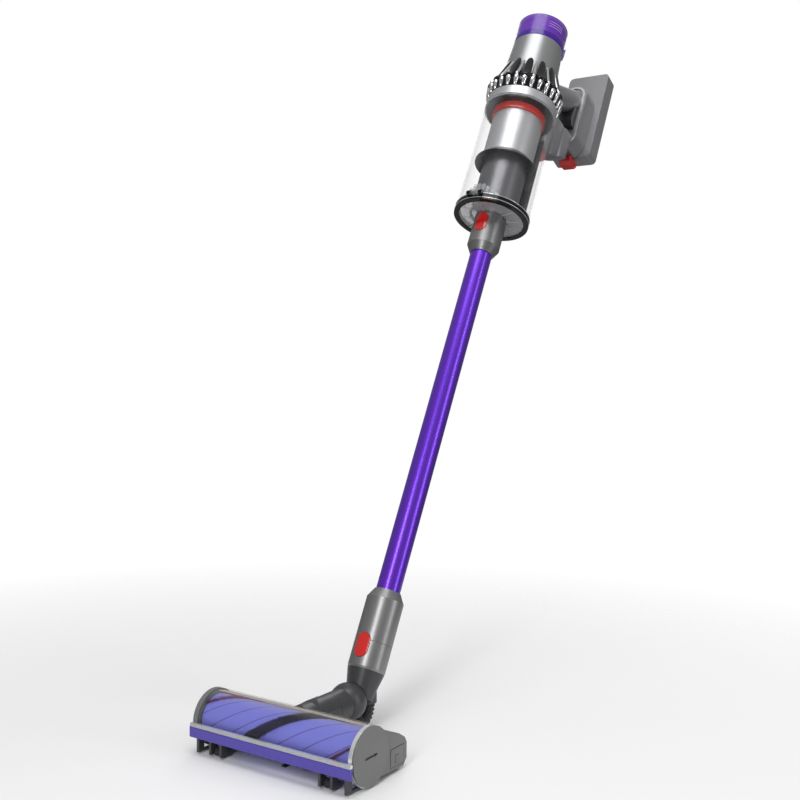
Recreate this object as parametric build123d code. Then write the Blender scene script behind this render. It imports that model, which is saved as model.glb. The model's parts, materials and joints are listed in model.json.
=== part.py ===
from build123d import *
import math
import os

# Cordless stick vacuum: motor floor head, swivelling neck, wand, clear bin, and a cyclone and motor unit
# with a pistol grip.
# Millimetres. The origin is on the floor under the roller's axis, at mid width. +X is the head's right end,
# -Y its front and +Z is up. The wand stands leaning back over +Y.
# Everything above the elbow is drawn in the wand's own frame: x across, h towards the hand, s up the wand.

# ---- stance ----
LEAN = 27.33  # wand from upright, degrees
ELBOW_Y = 147.0  # where the wand's axis crosses the elbow's height
ELBOW_Z = 49.7

# ---- floor head ----
HEAD_WIDTH = 250.0
END_RADIUS = 35.5
END_THICK = 7.5
ROLLER_RAISE = 1.5  # floor to the ends' lowest point
WINDOW_THICK = 1.6
TIP_GAP = 0.6  # bristle tips to the window
PILE_DEPTH = 5.0  # bristle tips stand this far out of the roller's skin
DRUM_WALL = 2.5
BRISTLE_WIDTH = 16.0
NYLON_WIDTH = 3.0
BRISTLE_PITCH = 290.0  # length of one full turn of the bristle helix
WINDOW_FRONT_DEG = 183.0
WINDOW_REAR_DEG = 38.0
BLOCK_INSET = 4.0  # rear housing's ends from the head's ends
BLOCK_REAR_Y = 79.0
BLOCK_TOP_REAR_Z = 38.0
BLOCK_WALL = 2.5
SOLE_THICK = 2.5
RUNNER_HEIGHT = 2.0
RUNNER_WIDTH = 6.0
RUNNER_SPACING = 70.0
MOUTH_HALF = 27.0
STRIP_STEP = 5.9  # bumper's face ahead of the ends' round
STRIP_DEPTH = 5.0
STRIP_TOP_Z = 34.5
STRIP_HEIGHT = 13.8
TRIM_HEIGHT = 4.0
COIN_SLOT_LENGTH = 24.0
COIN_SLOT_WIDTH = 3.0
COIN_SLOT_DEPTH = 2.5
CAP_FACE_THICK = 2.0
CAP_WEB = 2.0  # cap left behind its face
CAP_STUB = 6.0  # radius of the stub that the roller turns on
CAP_STUB_REACH = 20.0
DRIVE_RADIUS = 20.0
FRONT_WHEEL_RADIUS = 5.5
FRONT_WHEEL_X = 86.0
FRONT_WHEEL_Y = -26.0
CHEEK_LOW_Z = 3.0
CHEEK_BEHIND = 3.5  # bracket beyond the front axle
REAR_WHEEL_RADIUS = 8.0
REAR_WHEEL_X = 98.0
WHEEL_WIDTH = 12.0
AXLE_RADIUS = 1.5
STUB_REACH = 3.5  # wheel axle ends beyond the wheel
WHEEL_SIDE_GAP = 1.0
AXLE_END_GAP = 0.5

# ---- neck ----
BARREL_RADIUS = 21.5
BARREL_HALF = 20.0
ARM_RADIUS = 20.5
ARM_Z = 46.0
BARREL_WALL_GAP = 0.6  # barrel to the head's walls
BALL_Y = 121.0
BALL_RADIUS = 25.0
BALL_WALL = 3.5
BALL_FLAT = 18.0  # ball centre down to its flat underside
NECK_BORE = 15.0
SPIGOT_FIT = 0.08  # radial, running
PIVOT_PIN = 3.0
PIN_FIT = 0.05  # radial, running
TONGUE_HALF = 6.0
TONGUE_HUB = 8.0
HOSE_RADIUS = 12.5
HOSE_WALL = 1.5
HOSE_BACK_Y = 161.0
HOSE_PORT_Z = 36.0
HOSE_LOW_Z = 14.2

# ---- wand ----
CUFF_TOP_S = 31.0
SPLIT_S = 68.0  # where the wand pulls off the floor head
LOWER_COLLAR_LENGTH = 73.0
COLLAR_RADIUS = 26.0
COLLAR_CHAMFER = 13.0
WAND_RADIUS = 17.0
WAND_WALL = 1.5
CONNECTOR_BORE = 15.0
CONNECTOR_SPIGOT = 17.2
SPIGOT_LENGTH = 40.0
SLIP_FIT = 0.3  # radial, between pieces that pull apart
WAND_SHOWN = 542.0  # tube seen between its collars
COLLAR_TO_BIN = 74.3  # upper collar's foot to the bin wall's foot
UPPER_COLLAR_RADIUS = 25.5
INLET_RADIUS = 18.5
INLET_WALL = 1.5
INLET_DEPTH = 35.0  # how far the inlet reaches into the wand's collar
BUTTON_LENGTH = 33.0
BUTTON_WIDTH = 20.0
BUTTON_PROUD = 0.6
BUTTON_GAP = 0.35
BUTTON_TRAVEL = 2.0
BUTTON_THICK = 3.0

# ---- bin ----
BIN_LENGTH = 193.7  # clear wall
BIN_RADIUS = 58.5
BIN_WALL = 2.2
LID_RING_STEP = 1.5  # rim proud of the wall
LID_RING_HEIGHT = 10.0
LID_RING_WIDTH = 8.0
LID_PLATE = 3.0
LID_GAP = 0.3
INLET_ABOVE_LID = 14.0
HINGE_PIN = 1.6
HINGE_KNUCKLE = 3.6
RAIL_WIDTH = 46.0
RAIL_DEPTH = 3.6
LEVER_HALF = 9.0
LEVER_DROP = 24.0
LEVER_REACH = 30.0

# ---- cyclone and motor unit ----
SHROUD_RADIUS = 41.0
SHROUD_LENGTH = 77.0
COLLECTOR_STEP = 5.0  # fine dust tube inside the shroud's radius
COLLECTOR_RISE = 12.7  # its foot above the bin's
SLEEVE_WALL = 2.0
SKIRT_GAP = 5.8  # skirt to the bin's wall
SKIRT_DROP = 12.0
RED_RING_STEP = 3.0  # red ring proud of the shroud
RED_RING_HEIGHT = 11.0
SEAL_GAP = 0.7
SEAL_SHORT = 4.0  # red ring's top to the bin wall's top
CYCLONE_RING_HEIGHT = 15.0
CYCLONE_FLARE = 29.0  # ring's foot to the widest place
CYCLONE_HEIGHT = 51.0
CYCLONE_STEP = 7.5  # widest place beyond the bin's wall
CYCLONE_COUNT = 14
CASING_LOW_RADIUS = 48.0
CASING_RADIUS = 42.0
CASING_WALL = 2.5
CASING_HEIGHT = 84.0
CAP_HEIGHT = 47.0
CAP_GAP = 0.3
CAP_WALL = 2.2
DISPLAY_RADIUS = 27.0
MOTOR_RADIUS = 29.0
MOTOR_RISE = 7.0  # motor's foot above the cyclones
MOTOR_LENGTH = 46.0
IMPELLER_RADIUS = 25.0
IMPELLER_HEIGHT = 10.0
VANE_COUNT = 9
SHAFT_RADIUS = 2.0
SHAFT_FIT = 0.06

# ---- handle and battery ----
GRIP_TILT = 30.2  # degrees from h towards s
GRIP_SUNK = 4.0  # grip's root inside the casing's radius
GRIP_RISE = 30.0  # grip's root above the cyclones
GRIP_ACROSS = 18.0  # half width in x
GRIP_DEEP = 21.0  # half depth
BOSS_H = 150.0
BOSS_LENGTH = 134.0
BOSS_DEPTH = 36.0
BOSS_HALF = 25.0
FAIRING_HALF = 20.0
FAIRING_RISE = 13.0  # above the cyclones
FAIRING_DROP = 10.0  # below the cyclone ring
FAIRING_GAP = 5.5  # to the bin's wall
BATTERY_THICK = 30.0
BATTERY_HALF = 38.5
BATTERY_RAISE = 4.0  # battery's foot above the boss's
BATTERY_LENGTH = 182.0
BATTERY_CORNER = 8.0
BATTERY_GAP = 0.4
BATTERY_SKIN = 1.8
STUB_HALF = 17.0
STUB_LENGTH = 85.0
STUB_DEPTH = 22.0
CELL_RADIUS = 9.0
CELL_LENGTH = 65.0
CELL_SPACING = 22.0
CATCH_HALF = 10.0
CATCH_STEM = 4.0  # half width
CATCH_STEM_DEEP = 6.0
CATCH_GAP = 8.5  # catch's top to the battery's foot
CATCH_STEM_IN = 6.0  # stem's reach into the battery
TRIGGER_HALF = 7.0
TRIGGER_GAP = 0.6
TRIGGER_ROOM = 6.0  # depth that the trigger's nose swings into
TRIGGER_PIN_ALONG = 44.0
TRIGGER_PIN_DOWN = 13.0
TRIGGER_PIN = 1.5
TRIGGER_NOSE = 30.0  # nose ahead of the pin
TRIGGER_NOSE_DROP = 9.0  # and below it

# ---- worked out from the sizes above ----
WAND_FRAME = Location((0, ELBOW_Y, ELBOW_Z), (-LEAN, 0, 0))
ROLLER_Z = END_RADIUS + ROLLER_RAISE
STRIP_FRONT_Y = -END_RADIUS - STRIP_STEP
CHAMBER_RADIUS = END_RADIUS - WINDOW_THICK
TIP_RADIUS = CHAMBER_RADIUS - TIP_GAP
DRUM_RADIUS = TIP_RADIUS - PILE_DEPTH
END_X = HEAD_WIDTH / 2
INNER_X = END_X - END_THICK
BARREL_Y = BALL_Y - 63.0
CHANNEL_HALF = BARREL_HALF + BARREL_WALL_GAP
BARREL_CLEAR = BARREL_RADIUS + 0.5
ARM_SEAM_Y = BARREL_Y + BARREL_RADIUS + 2.5
REAR_WHEEL_Y = BLOCK_REAR_Y - REAR_WHEEL_RADIUS - 7.0
PIVOT_PIN_END = CHANNEL_HALF + 6.0
HEAD_BUTTON_S = SPLIT_S - BUTTON_LENGTH / 2 + 9.0
BUTTON_DEPTH = BUTTON_THICK + BUTTON_TRAVEL + 0.4
LOWER_COLLAR_TOP_S = SPLIT_S + LOWER_COLLAR_LENGTH
UPPER_COLLAR_S = LOWER_COLLAR_TOP_S + WAND_SHOWN
BIN_S = UPPER_COLLAR_S + COLLAR_TO_BIN
BIN_TOP_S = BIN_S + BIN_LENGTH
LID_RING_RADIUS = BIN_RADIUS + LID_RING_STEP
LID_RING_S = BIN_S - LID_GAP - LID_RING_HEIGHT
LID_PLATE_S = LID_RING_S + 2.0
UPPER_COLLAR_TOP_S = LID_RING_S - LID_GAP
INLET_S = UPPER_COLLAR_TOP_S - INLET_DEPTH
TUBE_S = SPLIT_S + SPIGOT_LENGTH + 4.0
TUBE_TOP_S = INLET_S - 2.0
UPPER_BUTTON_S = UPPER_COLLAR_TOP_S - BUTTON_LENGTH / 2 - 1.0
HINGE_H = -(LID_RING_RADIUS + HINGE_KNUCKLE - 1.0)
COLLECTOR_RADIUS = SHROUD_RADIUS - COLLECTOR_STEP
COLLECTOR_S = BIN_S + COLLECTOR_RISE
SHROUD_TOP_S = BIN_TOP_S - SEAL_SHORT - RED_RING_HEIGHT
SHROUD_S = SHROUD_TOP_S - SHROUD_LENGTH
SHROUD_BORE = SHROUD_RADIUS - SLEEVE_WALL
SKIRT_RADIUS = BIN_RADIUS - BIN_WALL - SKIRT_GAP
SKIRT_S = SHROUD_S - SKIRT_DROP
SEAL_RADIUS = BIN_RADIUS - BIN_WALL - SEAL_GAP
CYCLONE_RING_S = BIN_TOP_S + 1.0
CYCLONE_RING_TOP_S = CYCLONE_RING_S + CYCLONE_RING_HEIGHT
CYCLONE_WIDE_S = CYCLONE_RING_S + CYCLONE_FLARE
CYCLONE_TOP_S = CYCLONE_RING_S + CYCLONE_HEIGHT
CYCLONE_RADIUS = BIN_RADIUS + CYCLONE_STEP
CAP_S = CYCLONE_TOP_S + CASING_HEIGHT
CAP_TOP_S = CAP_S + CAP_HEIGHT
MOTOR_S = CYCLONE_TOP_S + MOTOR_RISE
GRIP_ROOT_H = CASING_RADIUS - GRIP_SUNK
GRIP_ROOT_S = CYCLONE_TOP_S + GRIP_RISE
BOSS_TOP_S = CAP_TOP_S
BOSS_S = BOSS_TOP_S - BOSS_LENGTH
BOSS_MID_S = (BOSS_S + BOSS_TOP_S) / 2
FAIRING_TOP_S = CYCLONE_TOP_S + FAIRING_RISE
FAIRING_LOW_S = CYCLONE_RING_S - FAIRING_DROP
FAIRING_H = BIN_RADIUS + FAIRING_GAP
BATTERY_H = BOSS_H + BOSS_DEPTH + BATTERY_GAP
BATTERY_S = BOSS_S + BATTERY_RAISE
BATTERY_MID_S = BATTERY_S + BATTERY_LENGTH / 2
BATTERY_BACK_H = BATTERY_H + BATTERY_THICK
CATCH_STEM_H = BATTERY_H + 6.0  # low face of the catch's stem
CATCH_TOP_S = BATTERY_S - CATCH_GAP
MODE_BUTTON_H = DISPLAY_RADIUS - 9.0
MODE_BUTTON_RADIUS = 5.0
CAP_PLUG = END_RADIUS - 5.0  # radius of the end cap's plug
TRIGGER_SWEEP = math.hypot(TRIGGER_NOSE, TRIGGER_NOSE_DROP)  # nose round the pin


# ---- drawing helpers ----
def rod(radius, low, high, bore=0.0):
    """A round bar or tube about the local upright axis."""
    length = abs(high - low)
    bar = Pos(0, 0, (low + high) / 2) * Cylinder(radius, length)
    if bore:
        bar -= Pos(0, 0, (low + high) / 2) * Cylinder(bore, length + 1)
    return bar


def x_rod(radius, x0, x1, y, z, bore=0.0):
    """A round bar or tube along X."""
    return Pos(0, y, z) * Rot(0, 90, 0) * rod(radius, x0, x1, bore)


def y_rod(radius, y0, y1, z, bore=0.0):
    """A round bar or tube along Y at mid width."""
    return Pos(0, 0, z) * Rot(-90, 0, 0) * rod(radius, y0, y1, bore)


def rod_between(start, end, radius):
    """A round bar from one point to another."""
    line = Line(start, end)
    return sweep(Plane(origin=line @ 0, z_dir=line % 0) * Circle(radius), path=line)


def turned(points):
    """A solid turned about the local upright axis from (radius, height) points."""
    return revolve(Plane.XZ * Polygon(*points, align=None), Axis.Z)


def across(points, half):
    """A profile of (y, z) points, carried across X to both sides."""
    return extrude(Plane.YZ * Polygon(*points, align=None), amount=half, both=True)


def block(x0, x1, y0, y1, z0, z1):
    """A box from its two corners."""
    middle = Pos((x0 + x1) / 2, (y0 + y1) / 2, (z0 + z1) / 2)
    return middle * Box(abs(x1 - x0), abs(y1 - y0), abs(z1 - z0))


def h_slot(length, width, middle_s, h0, h1):
    """An obround bar along h, its long way along s."""
    face = Plane.XZ * Rot(0, 0, 90) * SlotOverall(length, width)
    return Pos(0, h1, middle_s) * extrude(face, amount=h1 - h0)


def on_wand(piece):
    """Carries a piece from the wand's frame to the machine's."""
    return WAND_FRAME * piece


PARTS = {}


def keep(name, piece):
    """Names a finished piece."""
    PARTS[name] = piece


# ---- floor head ----
def roller_angle(degrees, radius):
    """A (y, z) point round the roller's axis, measured from +Y towards +Z."""
    turn = math.radians(degrees)
    return radius * math.cos(turn), ROLLER_Z + radius * math.sin(turn)


def rear_block(inset, half):
    """The rear housing's outer form, or its inside at a wall's inset."""
    low = SOLE_THICK + RUNNER_HEIGHT + inset
    rear = BLOCK_REAR_Y - inset
    inner_y, inner_z = roller_angle(WINDOW_REAR_DEG, CHAMBER_RADIUS)
    outer_y, outer_z = roller_angle(WINDOW_REAR_DEG, END_RADIUS)
    points = [
        (MOUTH_HALF + inset, low),
        (MOUTH_HALF + inset, ROLLER_Z),
        (inner_y + inset, inner_z - inset),
        (outer_y + inset, outer_z - inset),
        (outer_y + 14.0, outer_z - 6.0 - inset),
        (rear - 17.0, BLOCK_TOP_REAR_Z + 8.0 - inset),
        (rear - 4.0, BLOCK_TOP_REAR_Z - inset),
        (rear, BLOCK_TOP_REAR_Z - inset - 7.0),
        (rear, low + 8.0),
        (rear - 7.0, low),
    ]
    return across(points, half)


def head_housing():
    """Rear housing with the roller chamber's back wall and the neck's channel."""
    half = END_X - BLOCK_INSET
    body = rear_block(0.0, half)
    body -= x_rod(CHAMBER_RADIUS, -END_X, END_X, 0, ROLLER_Z)
    body -= x_rod(END_RADIUS, INNER_X, END_X, 0, ROLLER_Z)
    body -= x_rod(END_RADIUS, -END_X, -INNER_X, 0, ROLLER_Z)
    pocket = rear_block(BLOCK_WALL, half - BLOCK_WALL)
    pocket -= x_rod(END_RADIUS + BLOCK_WALL, -END_X, END_X, 0, ROLLER_Z)
    pocket -= across([(0, 0), (200, 0), (200, 100), (0, 100)], CHANNEL_HALF + 8.0)
    body -= pocket
    body -= x_rod(BARREL_CLEAR, -CHANNEL_HALF, CHANNEL_HALF, BARREL_Y, ARM_Z)
    body -= block(-CHANNEL_HALF, CHANNEL_HALF, BARREL_Y, 100, ARM_Z - BARREL_CLEAR, 80)
    body -= y_rod(NECK_BORE - 3.0, 20, BARREL_Y, ARM_Z - 4.0)
    body -= x_rod(PIVOT_PIN, -PIVOT_PIN_END, PIVOT_PIN_END, BARREL_Y, ARM_Z)
    for side in (-1, 1):
        body -= wheel_well(side * REAR_WHEEL_X, REAR_WHEEL_Y, REAR_WHEEL_RADIUS)
    return body


def wheel_well(x_mid, y_mid, radius):
    """The space that a wheel and its stub axles turn in, open below."""
    half = WHEEL_WIDTH / 2 + WHEEL_SIDE_GAP
    reach = WHEEL_WIDTH / 2 + STUB_REACH + AXLE_END_GAP
    grown = radius + 1.0
    well = x_rod(grown, x_mid - half, x_mid + half, y_mid, radius)
    well += block(x_mid - half, x_mid + half, y_mid - grown, y_mid + grown, 0, radius)
    return well + x_rod(AXLE_RADIUS + PIN_FIT, x_mid - reach, x_mid + reach, y_mid, radius)


def neck_hood():
    """Fixed hood between the window and the neck's barrel."""
    hood = y_rod(ARM_RADIUS, roller_angle(WINDOW_REAR_DEG, END_RADIUS)[0] - 4.0, BARREL_Y - 16.5, ARM_Z)
    hood -= x_rod(END_RADIUS, -END_X, END_X, 0, ROLLER_Z)
    hood -= x_rod(BARREL_CLEAR, -CHANNEL_HALF - 5, CHANNEL_HALF + 5, BARREL_Y, ARM_Z)
    hood -= rear_block(0.0, END_X)
    return hood


def sole_plate():
    """Thin plate behind the suction mouth, with side rails, a front lip and the front wheels' brackets."""
    low = RUNNER_HEIGHT
    top = low + SOLE_THICK
    front = STRIP_FRONT_Y + STRIP_DEPTH
    rail = INNER_X - 4.0
    plate = block(-INNER_X, INNER_X, MOUTH_HALF, BLOCK_REAR_Y - 8, low, top)
    for side in (-1, 1):
        plate += block(side * rail, side * INNER_X, front, MOUTH_HALF, low, top)
        plate += block(side * rail, side * INNER_X, front, -MOUTH_HALF, low, STRIP_TOP_Z)
    strip_low = STRIP_TOP_Z - STRIP_HEIGHT
    plate += block(-INNER_X, INNER_X, front, -CHAMBER_RADIUS + 2.0, strip_low, STRIP_TOP_Z)
    for side in (-1, 1):
        plate += front_wheel_cheeks(side * FRONT_WHEEL_X, front, strip_low + 2.0)
    ahead = block(-END_X, END_X, front - 1, 0, top, ROLLER_Z * 2)
    plate -= x_rod(END_RADIUS, -END_X, END_X, 0, ROLLER_Z) & ahead
    plate -= x_rod(CHAMBER_RADIUS, -END_X, END_X, 0, ROLLER_Z)
    for side in (-1, 1):
        plate -= wheel_well(side * FRONT_WHEEL_X, FRONT_WHEEL_Y, FRONT_WHEEL_RADIUS)
        plate -= wheel_well(side * REAR_WHEEL_X, REAR_WHEEL_Y, REAR_WHEEL_RADIUS)
    return plate


def front_wheel_cheeks(x_mid, front, top):
    """Two thin cheeks that hang from the front wall and hold one front wheel's stub axles."""
    inner = WHEEL_WIDTH / 2 + WHEEL_SIDE_GAP
    outer = WHEEL_WIDTH / 2 + STUB_REACH + 2 * AXLE_END_GAP
    back = FRONT_WHEEL_Y + CHEEK_BEHIND
    cheeks = block(x_mid - outer, x_mid - inner, front, back, CHEEK_LOW_Z, top)
    return cheeks + block(x_mid + inner, x_mid + outer, front, back, CHEEK_LOW_Z, top)


def wheel_pair(x_mid, y_mid, radius):
    """Two wheels on one line, each with its own stub axles."""
    pair = []
    for side in (-1, 1):
        middle = side * x_mid
        half = WHEEL_WIDTH / 2
        wheel = x_rod(radius, middle - half, middle + half, y_mid, radius)
        wheel += x_rod(AXLE_RADIUS, middle - half - STUB_REACH, middle + half + STUB_REACH, y_mid, radius)
        pair.append(wheel)
    return Compound(children=pair)


def sole_runners():
    """Three narrow runners that the head glides on; the middle one reaches under the roller as a guard."""
    runners = []
    for n in (-1, 0, 1):
        x_mid = n * RUNNER_SPACING
        half = RUNNER_WIDTH / 2
        front = MOUTH_HALF + 2 if n else -8.0
        runners.append(block(x_mid - half, x_mid + half, front, BLOCK_REAR_Y - 12, 0, RUNNER_HEIGHT))
    return Compound(children=runners)


def front_strip():
    """Coloured bumper bar along the front."""
    low = STRIP_TOP_Z - STRIP_HEIGHT
    bar = block(-END_X, END_X, STRIP_FRONT_Y, STRIP_FRONT_Y + STRIP_DEPTH, low, STRIP_TOP_Z)
    edges = bar.edges().filter_by(Axis.X).group_by(Axis.Y)[0]
    return fillet(edges, 1.6)


def front_trim():
    """Bright bar on top of the bumper."""
    return across(
        [
            (STRIP_FRONT_Y, STRIP_TOP_Z),
            (STRIP_FRONT_Y + 1.2, STRIP_TOP_Z + TRIM_HEIGHT),
            (STRIP_FRONT_Y + STRIP_DEPTH, STRIP_TOP_Z + TRIM_HEIGHT),
            (STRIP_FRONT_Y + STRIP_DEPTH, STRIP_TOP_Z),
        ],
        END_X,
    )


def roller_window():
    """Clear curved cover over the roller."""
    shell = x_rod(END_RADIUS, -INNER_X, INNER_X, 0, ROLLER_Z, bore=CHAMBER_RADIUS)
    far = END_RADIUS * 3
    sector = [(0, ROLLER_Z)]
    for turn in (WINDOW_FRONT_DEG, 110.0, WINDOW_REAR_DEG):
        sector.append(roller_angle(turn, far))
    return shell & across(sector, END_X)


def left_end_frame():
    """Left arch with its recessed outer face and the roller's drive side bore."""
    frame = x_rod(END_RADIUS, -END_X, -INNER_X, 0, ROLLER_Z)
    frame -= x_rod(END_RADIUS - 4, -END_X - 1, -END_X + 2.5, 0, ROLLER_Z)
    frame -= x_rod(DRIVE_RADIUS, -END_X, -INNER_X + 1, 0, ROLLER_Z)
    return frame


def right_end_frame():
    """Right ring that the end cap locks into."""
    ring = x_rod(END_RADIUS, INNER_X, END_X - CAP_FACE_THICK - 0.3, 0, ROLLER_Z)
    return ring - x_rod(CAP_PLUG + SLIP_FIT, INNER_X - 1, END_X, 0, ROLLER_Z)


def end_cap():
    """Round end cap with a coin slot, carrying the roller's outboard stub."""
    face = END_X - CAP_FACE_THICK
    cap = x_rod(END_RADIUS - 0.8, face, END_X, 0, ROLLER_Z)
    cap += x_rod(CAP_PLUG, INNER_X + 1, face, 0, ROLLER_Z)
    cap -= x_rod(CAP_PLUG - 3, INNER_X, face - CAP_WEB, 0, ROLLER_Z)
    cap += x_rod(CAP_STUB, INNER_X - CAP_STUB_REACH, face - 1, 0, ROLLER_Z)
    slot = SlotOverall(COIN_SLOT_LENGTH, COIN_SLOT_WIDTH)
    slot = Pos(END_X, 0, ROLLER_Z) * Rot(0, 90, 0) * Rot(0, 0, 90) * slot
    return cap - extrude(slot, amount=COIN_SLOT_DEPTH, both=True)


def roller_drum():
    """Hollow roller with two end walls, one bored for the stub and one for the motor."""
    end = INNER_X - 1.0
    drum = x_rod(DRUM_RADIUS, -end, end, 0, ROLLER_Z)
    drum -= x_rod(DRUM_RADIUS - DRUM_WALL - 2.0, -end - 1, end - 14.0, 0, ROLLER_Z)
    return drum - x_rod(CAP_STUB + PIN_FIT, end - 15, end + 1, 0, ROLLER_Z)


def bristle_row(width, start_deg, x0, x1, low, high):
    """A helical strip of bristles round the roller, built as one twisted ribbon."""
    steps = 12
    sections = []
    for k in range(steps + 1):
        x = x0 + (x1 - x0) * k / steps
        middle = start_deg - 360.0 * (x - x0) / BRISTLE_PITCH
        swing = math.degrees(width / 2 / high)
        points = [
            roller_angle(middle - swing, low),
            roller_angle(middle - swing, high),
            roller_angle(middle + swing, high),
            roller_angle(middle + swing, low),
        ]
        sections.append(Plane.YZ.offset(x) * Polygon(*points, align=None))
    return loft(sections)


def bristle_rows(width, starts):
    """Rows standing on the roller's skin, each from its own place at the left end."""
    end = INNER_X - 1.5
    core = x_rod(DRUM_RADIUS, -END_X, END_X, 0, ROLLER_Z)
    rows = [bristle_row(width, first, -end, end, DRUM_RADIUS - 1.5, TIP_RADIUS) - core for first in starts]
    return Compound(children=rows)


def carbon_bristles():
    """One broad soft black row."""
    return bristle_rows(BRISTLE_WIDTH, (283.0,))


def nylon_bristles():
    """Two narrow stiff rows beside the broad one."""
    return bristle_rows(NYLON_WIDTH, (77.0, 131.0))


def roller_motor():
    """Drive motor on the left frame, reaching into the roller."""
    motor = x_rod(DRIVE_RADIUS, -END_X + 3.0, -INNER_X, 0, ROLLER_Z)
    motor += x_rod(DRIVE_RADIUS - 1.0, -INNER_X, -INNER_X + 95.0, 0, ROLLER_Z)
    return motor


def build_head():
    keep("head_housing", head_housing())
    keep("neck_hood", neck_hood())
    keep("sole_plate", sole_plate())
    keep("sole_runners", sole_runners())
    keep("front_strip", front_strip())
    keep("front_trim", front_trim())
    keep("roller_window", roller_window())
    keep("left_end_frame", left_end_frame())
    keep("right_end_frame", right_end_frame())
    keep("end_cap", end_cap())
    keep("roller_drum", roller_drum())
    keep("carbon_bristles", carbon_bristles())
    keep("nylon_bristles", nylon_bristles())
    keep("roller_motor", roller_motor())
    keep("front_wheels", wheel_pair(FRONT_WHEEL_X, FRONT_WHEEL_Y, FRONT_WHEEL_RADIUS))
    keep("rear_wheels", wheel_pair(REAR_WHEEL_X, REAR_WHEEL_Y, REAR_WHEEL_RADIUS))


# ---- neck ----
def neck_barrel():
    """Cross barrel that tilts in the head's channel, with the arm's socket behind it."""
    barrel = x_rod(BARREL_RADIUS, -BARREL_HALF, BARREL_HALF, BARREL_Y, ARM_Z)
    barrel &= y_rod(ARM_RADIUS + 0.6, 0, 200, ARM_Z)
    barrel += y_rod(ARM_RADIUS, BARREL_Y, ARM_SEAM_Y, ARM_Z)
    barrel -= y_rod(NECK_BORE, 0, ARM_SEAM_Y + 1, ARM_Z)
    return barrel - x_rod(PIVOT_PIN + PIN_FIT, -BARREL_HALF - 1, BARREL_HALF + 1, BARREL_Y, ARM_Z)


def neck_pivot_pins():
    """Two pins in the head's walls that the barrel tilts on."""
    start = NECK_BORE + 1.2
    pins = [x_rod(PIVOT_PIN, side * start, side * PIVOT_PIN_END, BARREL_Y, ARM_Z) for side in (-1, 1)]
    return Compound(children=pins)


def neck_arm():
    """Arm that rolls in the barrel's socket and ends in the hollow elbow ball, flat underneath."""
    floor_z = ARM_Z - BALL_FLAT
    bore = NECK_BORE - 3.0
    centre = Pos(0, BALL_Y, ARM_Z)
    arm = y_rod(ARM_RADIUS, ARM_SEAM_Y + 0.4, BALL_Y, ARM_Z) + centre * Sphere(BALL_RADIUS)
    arm -= block(-40, 40, ARM_SEAM_Y + 12, BALL_Y + 40, 0, floor_z)
    hollow = centre * Sphere(BALL_RADIUS - BALL_WALL) & block(-40, 40, 0, 300, floor_z + 3, 100)
    arm -= hollow
    arm += y_rod(NECK_BORE - SPIGOT_FIT, ARM_SEAM_Y - 14.0, ARM_SEAM_Y + 1.0, ARM_Z)
    arm -= y_rod(bore, 0, BALL_Y - 12, ARM_Z)
    arm -= Pos(0, BALL_Y - 1, 0) * rod(HOSE_RADIUS - HOSE_WALL, floor_z - 5, floor_z + 6)
    far = BALL_RADIUS + 10
    sector = [(BALL_Y, ARM_Z)]
    for turn in (66.0, 30.0, 0.0, -28.0):
        angle = math.radians(turn)
        sector.append((BALL_Y + far * math.cos(angle), ARM_Z + far * math.sin(angle)))
    arm -= across(sector, TONGUE_HALF + 0.5)
    for side in (-1, 1):
        arm += x_rod(7.0, side * (TONGUE_HALF + 0.5), side * (BALL_RADIUS - 3.0), BALL_Y, ARM_Z)
    return arm - x_rod(PIVOT_PIN, -BALL_RADIUS + 4, BALL_RADIUS - 4, BALL_Y, ARM_Z)


def elbow_pin():
    """Cross pin through the ball that the cuff pitches on."""
    return x_rod(PIVOT_PIN, -BALL_RADIUS + 5.0, BALL_RADIUS - 5.0, BALL_Y, ARM_Z)


def neck_cuff():
    """Cuff behind the ball, hinged on a tongue through the ball's slot, with the hose's port beneath."""
    body = on_wand(turned([(0, -6), (19.0, -6), (20.5, 8), (25.4, CUFF_TOP_S), (0, CUFF_TOP_S)]))
    port = (0, HOSE_BACK_Y, HOSE_PORT_Z)
    shoulder = (0, ELBOW_Y + 14.0, ELBOW_Z + 22.0)
    body += rod_between(port, shoulder, HOSE_RADIUS + 2.5)
    body -= block(-60, 60, 0, 400, -50, HOSE_PORT_Z)
    body -= on_wand(rod(60, CUFF_TOP_S, CUFF_TOP_S + 60))
    body -= Pos(0, BALL_Y, ARM_Z) * Sphere(BALL_RADIUS + 0.5)
    body -= y_rod(ARM_RADIUS + 1.0, 0, BALL_Y, ARM_Z)
    tongue = x_rod(TONGUE_HUB, -TONGUE_HALF, TONGUE_HALF, BALL_Y, ARM_Z)
    web = [(-2.0, 7.5), (20.0, 24.0), (28.0, 12.0), (6.0, -4.0)]
    tongue += across([(BALL_Y + y, ARM_Z + z) for y, z in web], TONGUE_HALF)
    body += tongue
    duct_top = WAND_FRAME * Pos(0, 0, CUFF_TOP_S + 12)
    body -= rod_between((0, HOSE_BACK_Y, HOSE_PORT_Z - 1), tuple(duct_top.position), HOSE_RADIUS - HOSE_WALL)
    return body - x_rod(PIVOT_PIN + PIN_FIT, -40, 40, BALL_Y, ARM_Z)


def neck_hose():
    """Flexible duct from the cuff round under the ball."""
    path = FilletPolyline(
        (0, HOSE_BACK_Y, HOSE_PORT_Z),
        (0, HOSE_BACK_Y, HOSE_LOW_Z),
        (0, BALL_Y - 1, HOSE_LOW_Z),
        (0, BALL_Y - 1, ARM_Z - BALL_FLAT),
        radius=[18.0, 13.0],
    )
    wall = Circle(HOSE_RADIUS) - Circle(HOSE_RADIUS - HOSE_WALL)
    return sweep(Plane(origin=path @ 0, z_dir=path % 0) * wall, path=path)


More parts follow.
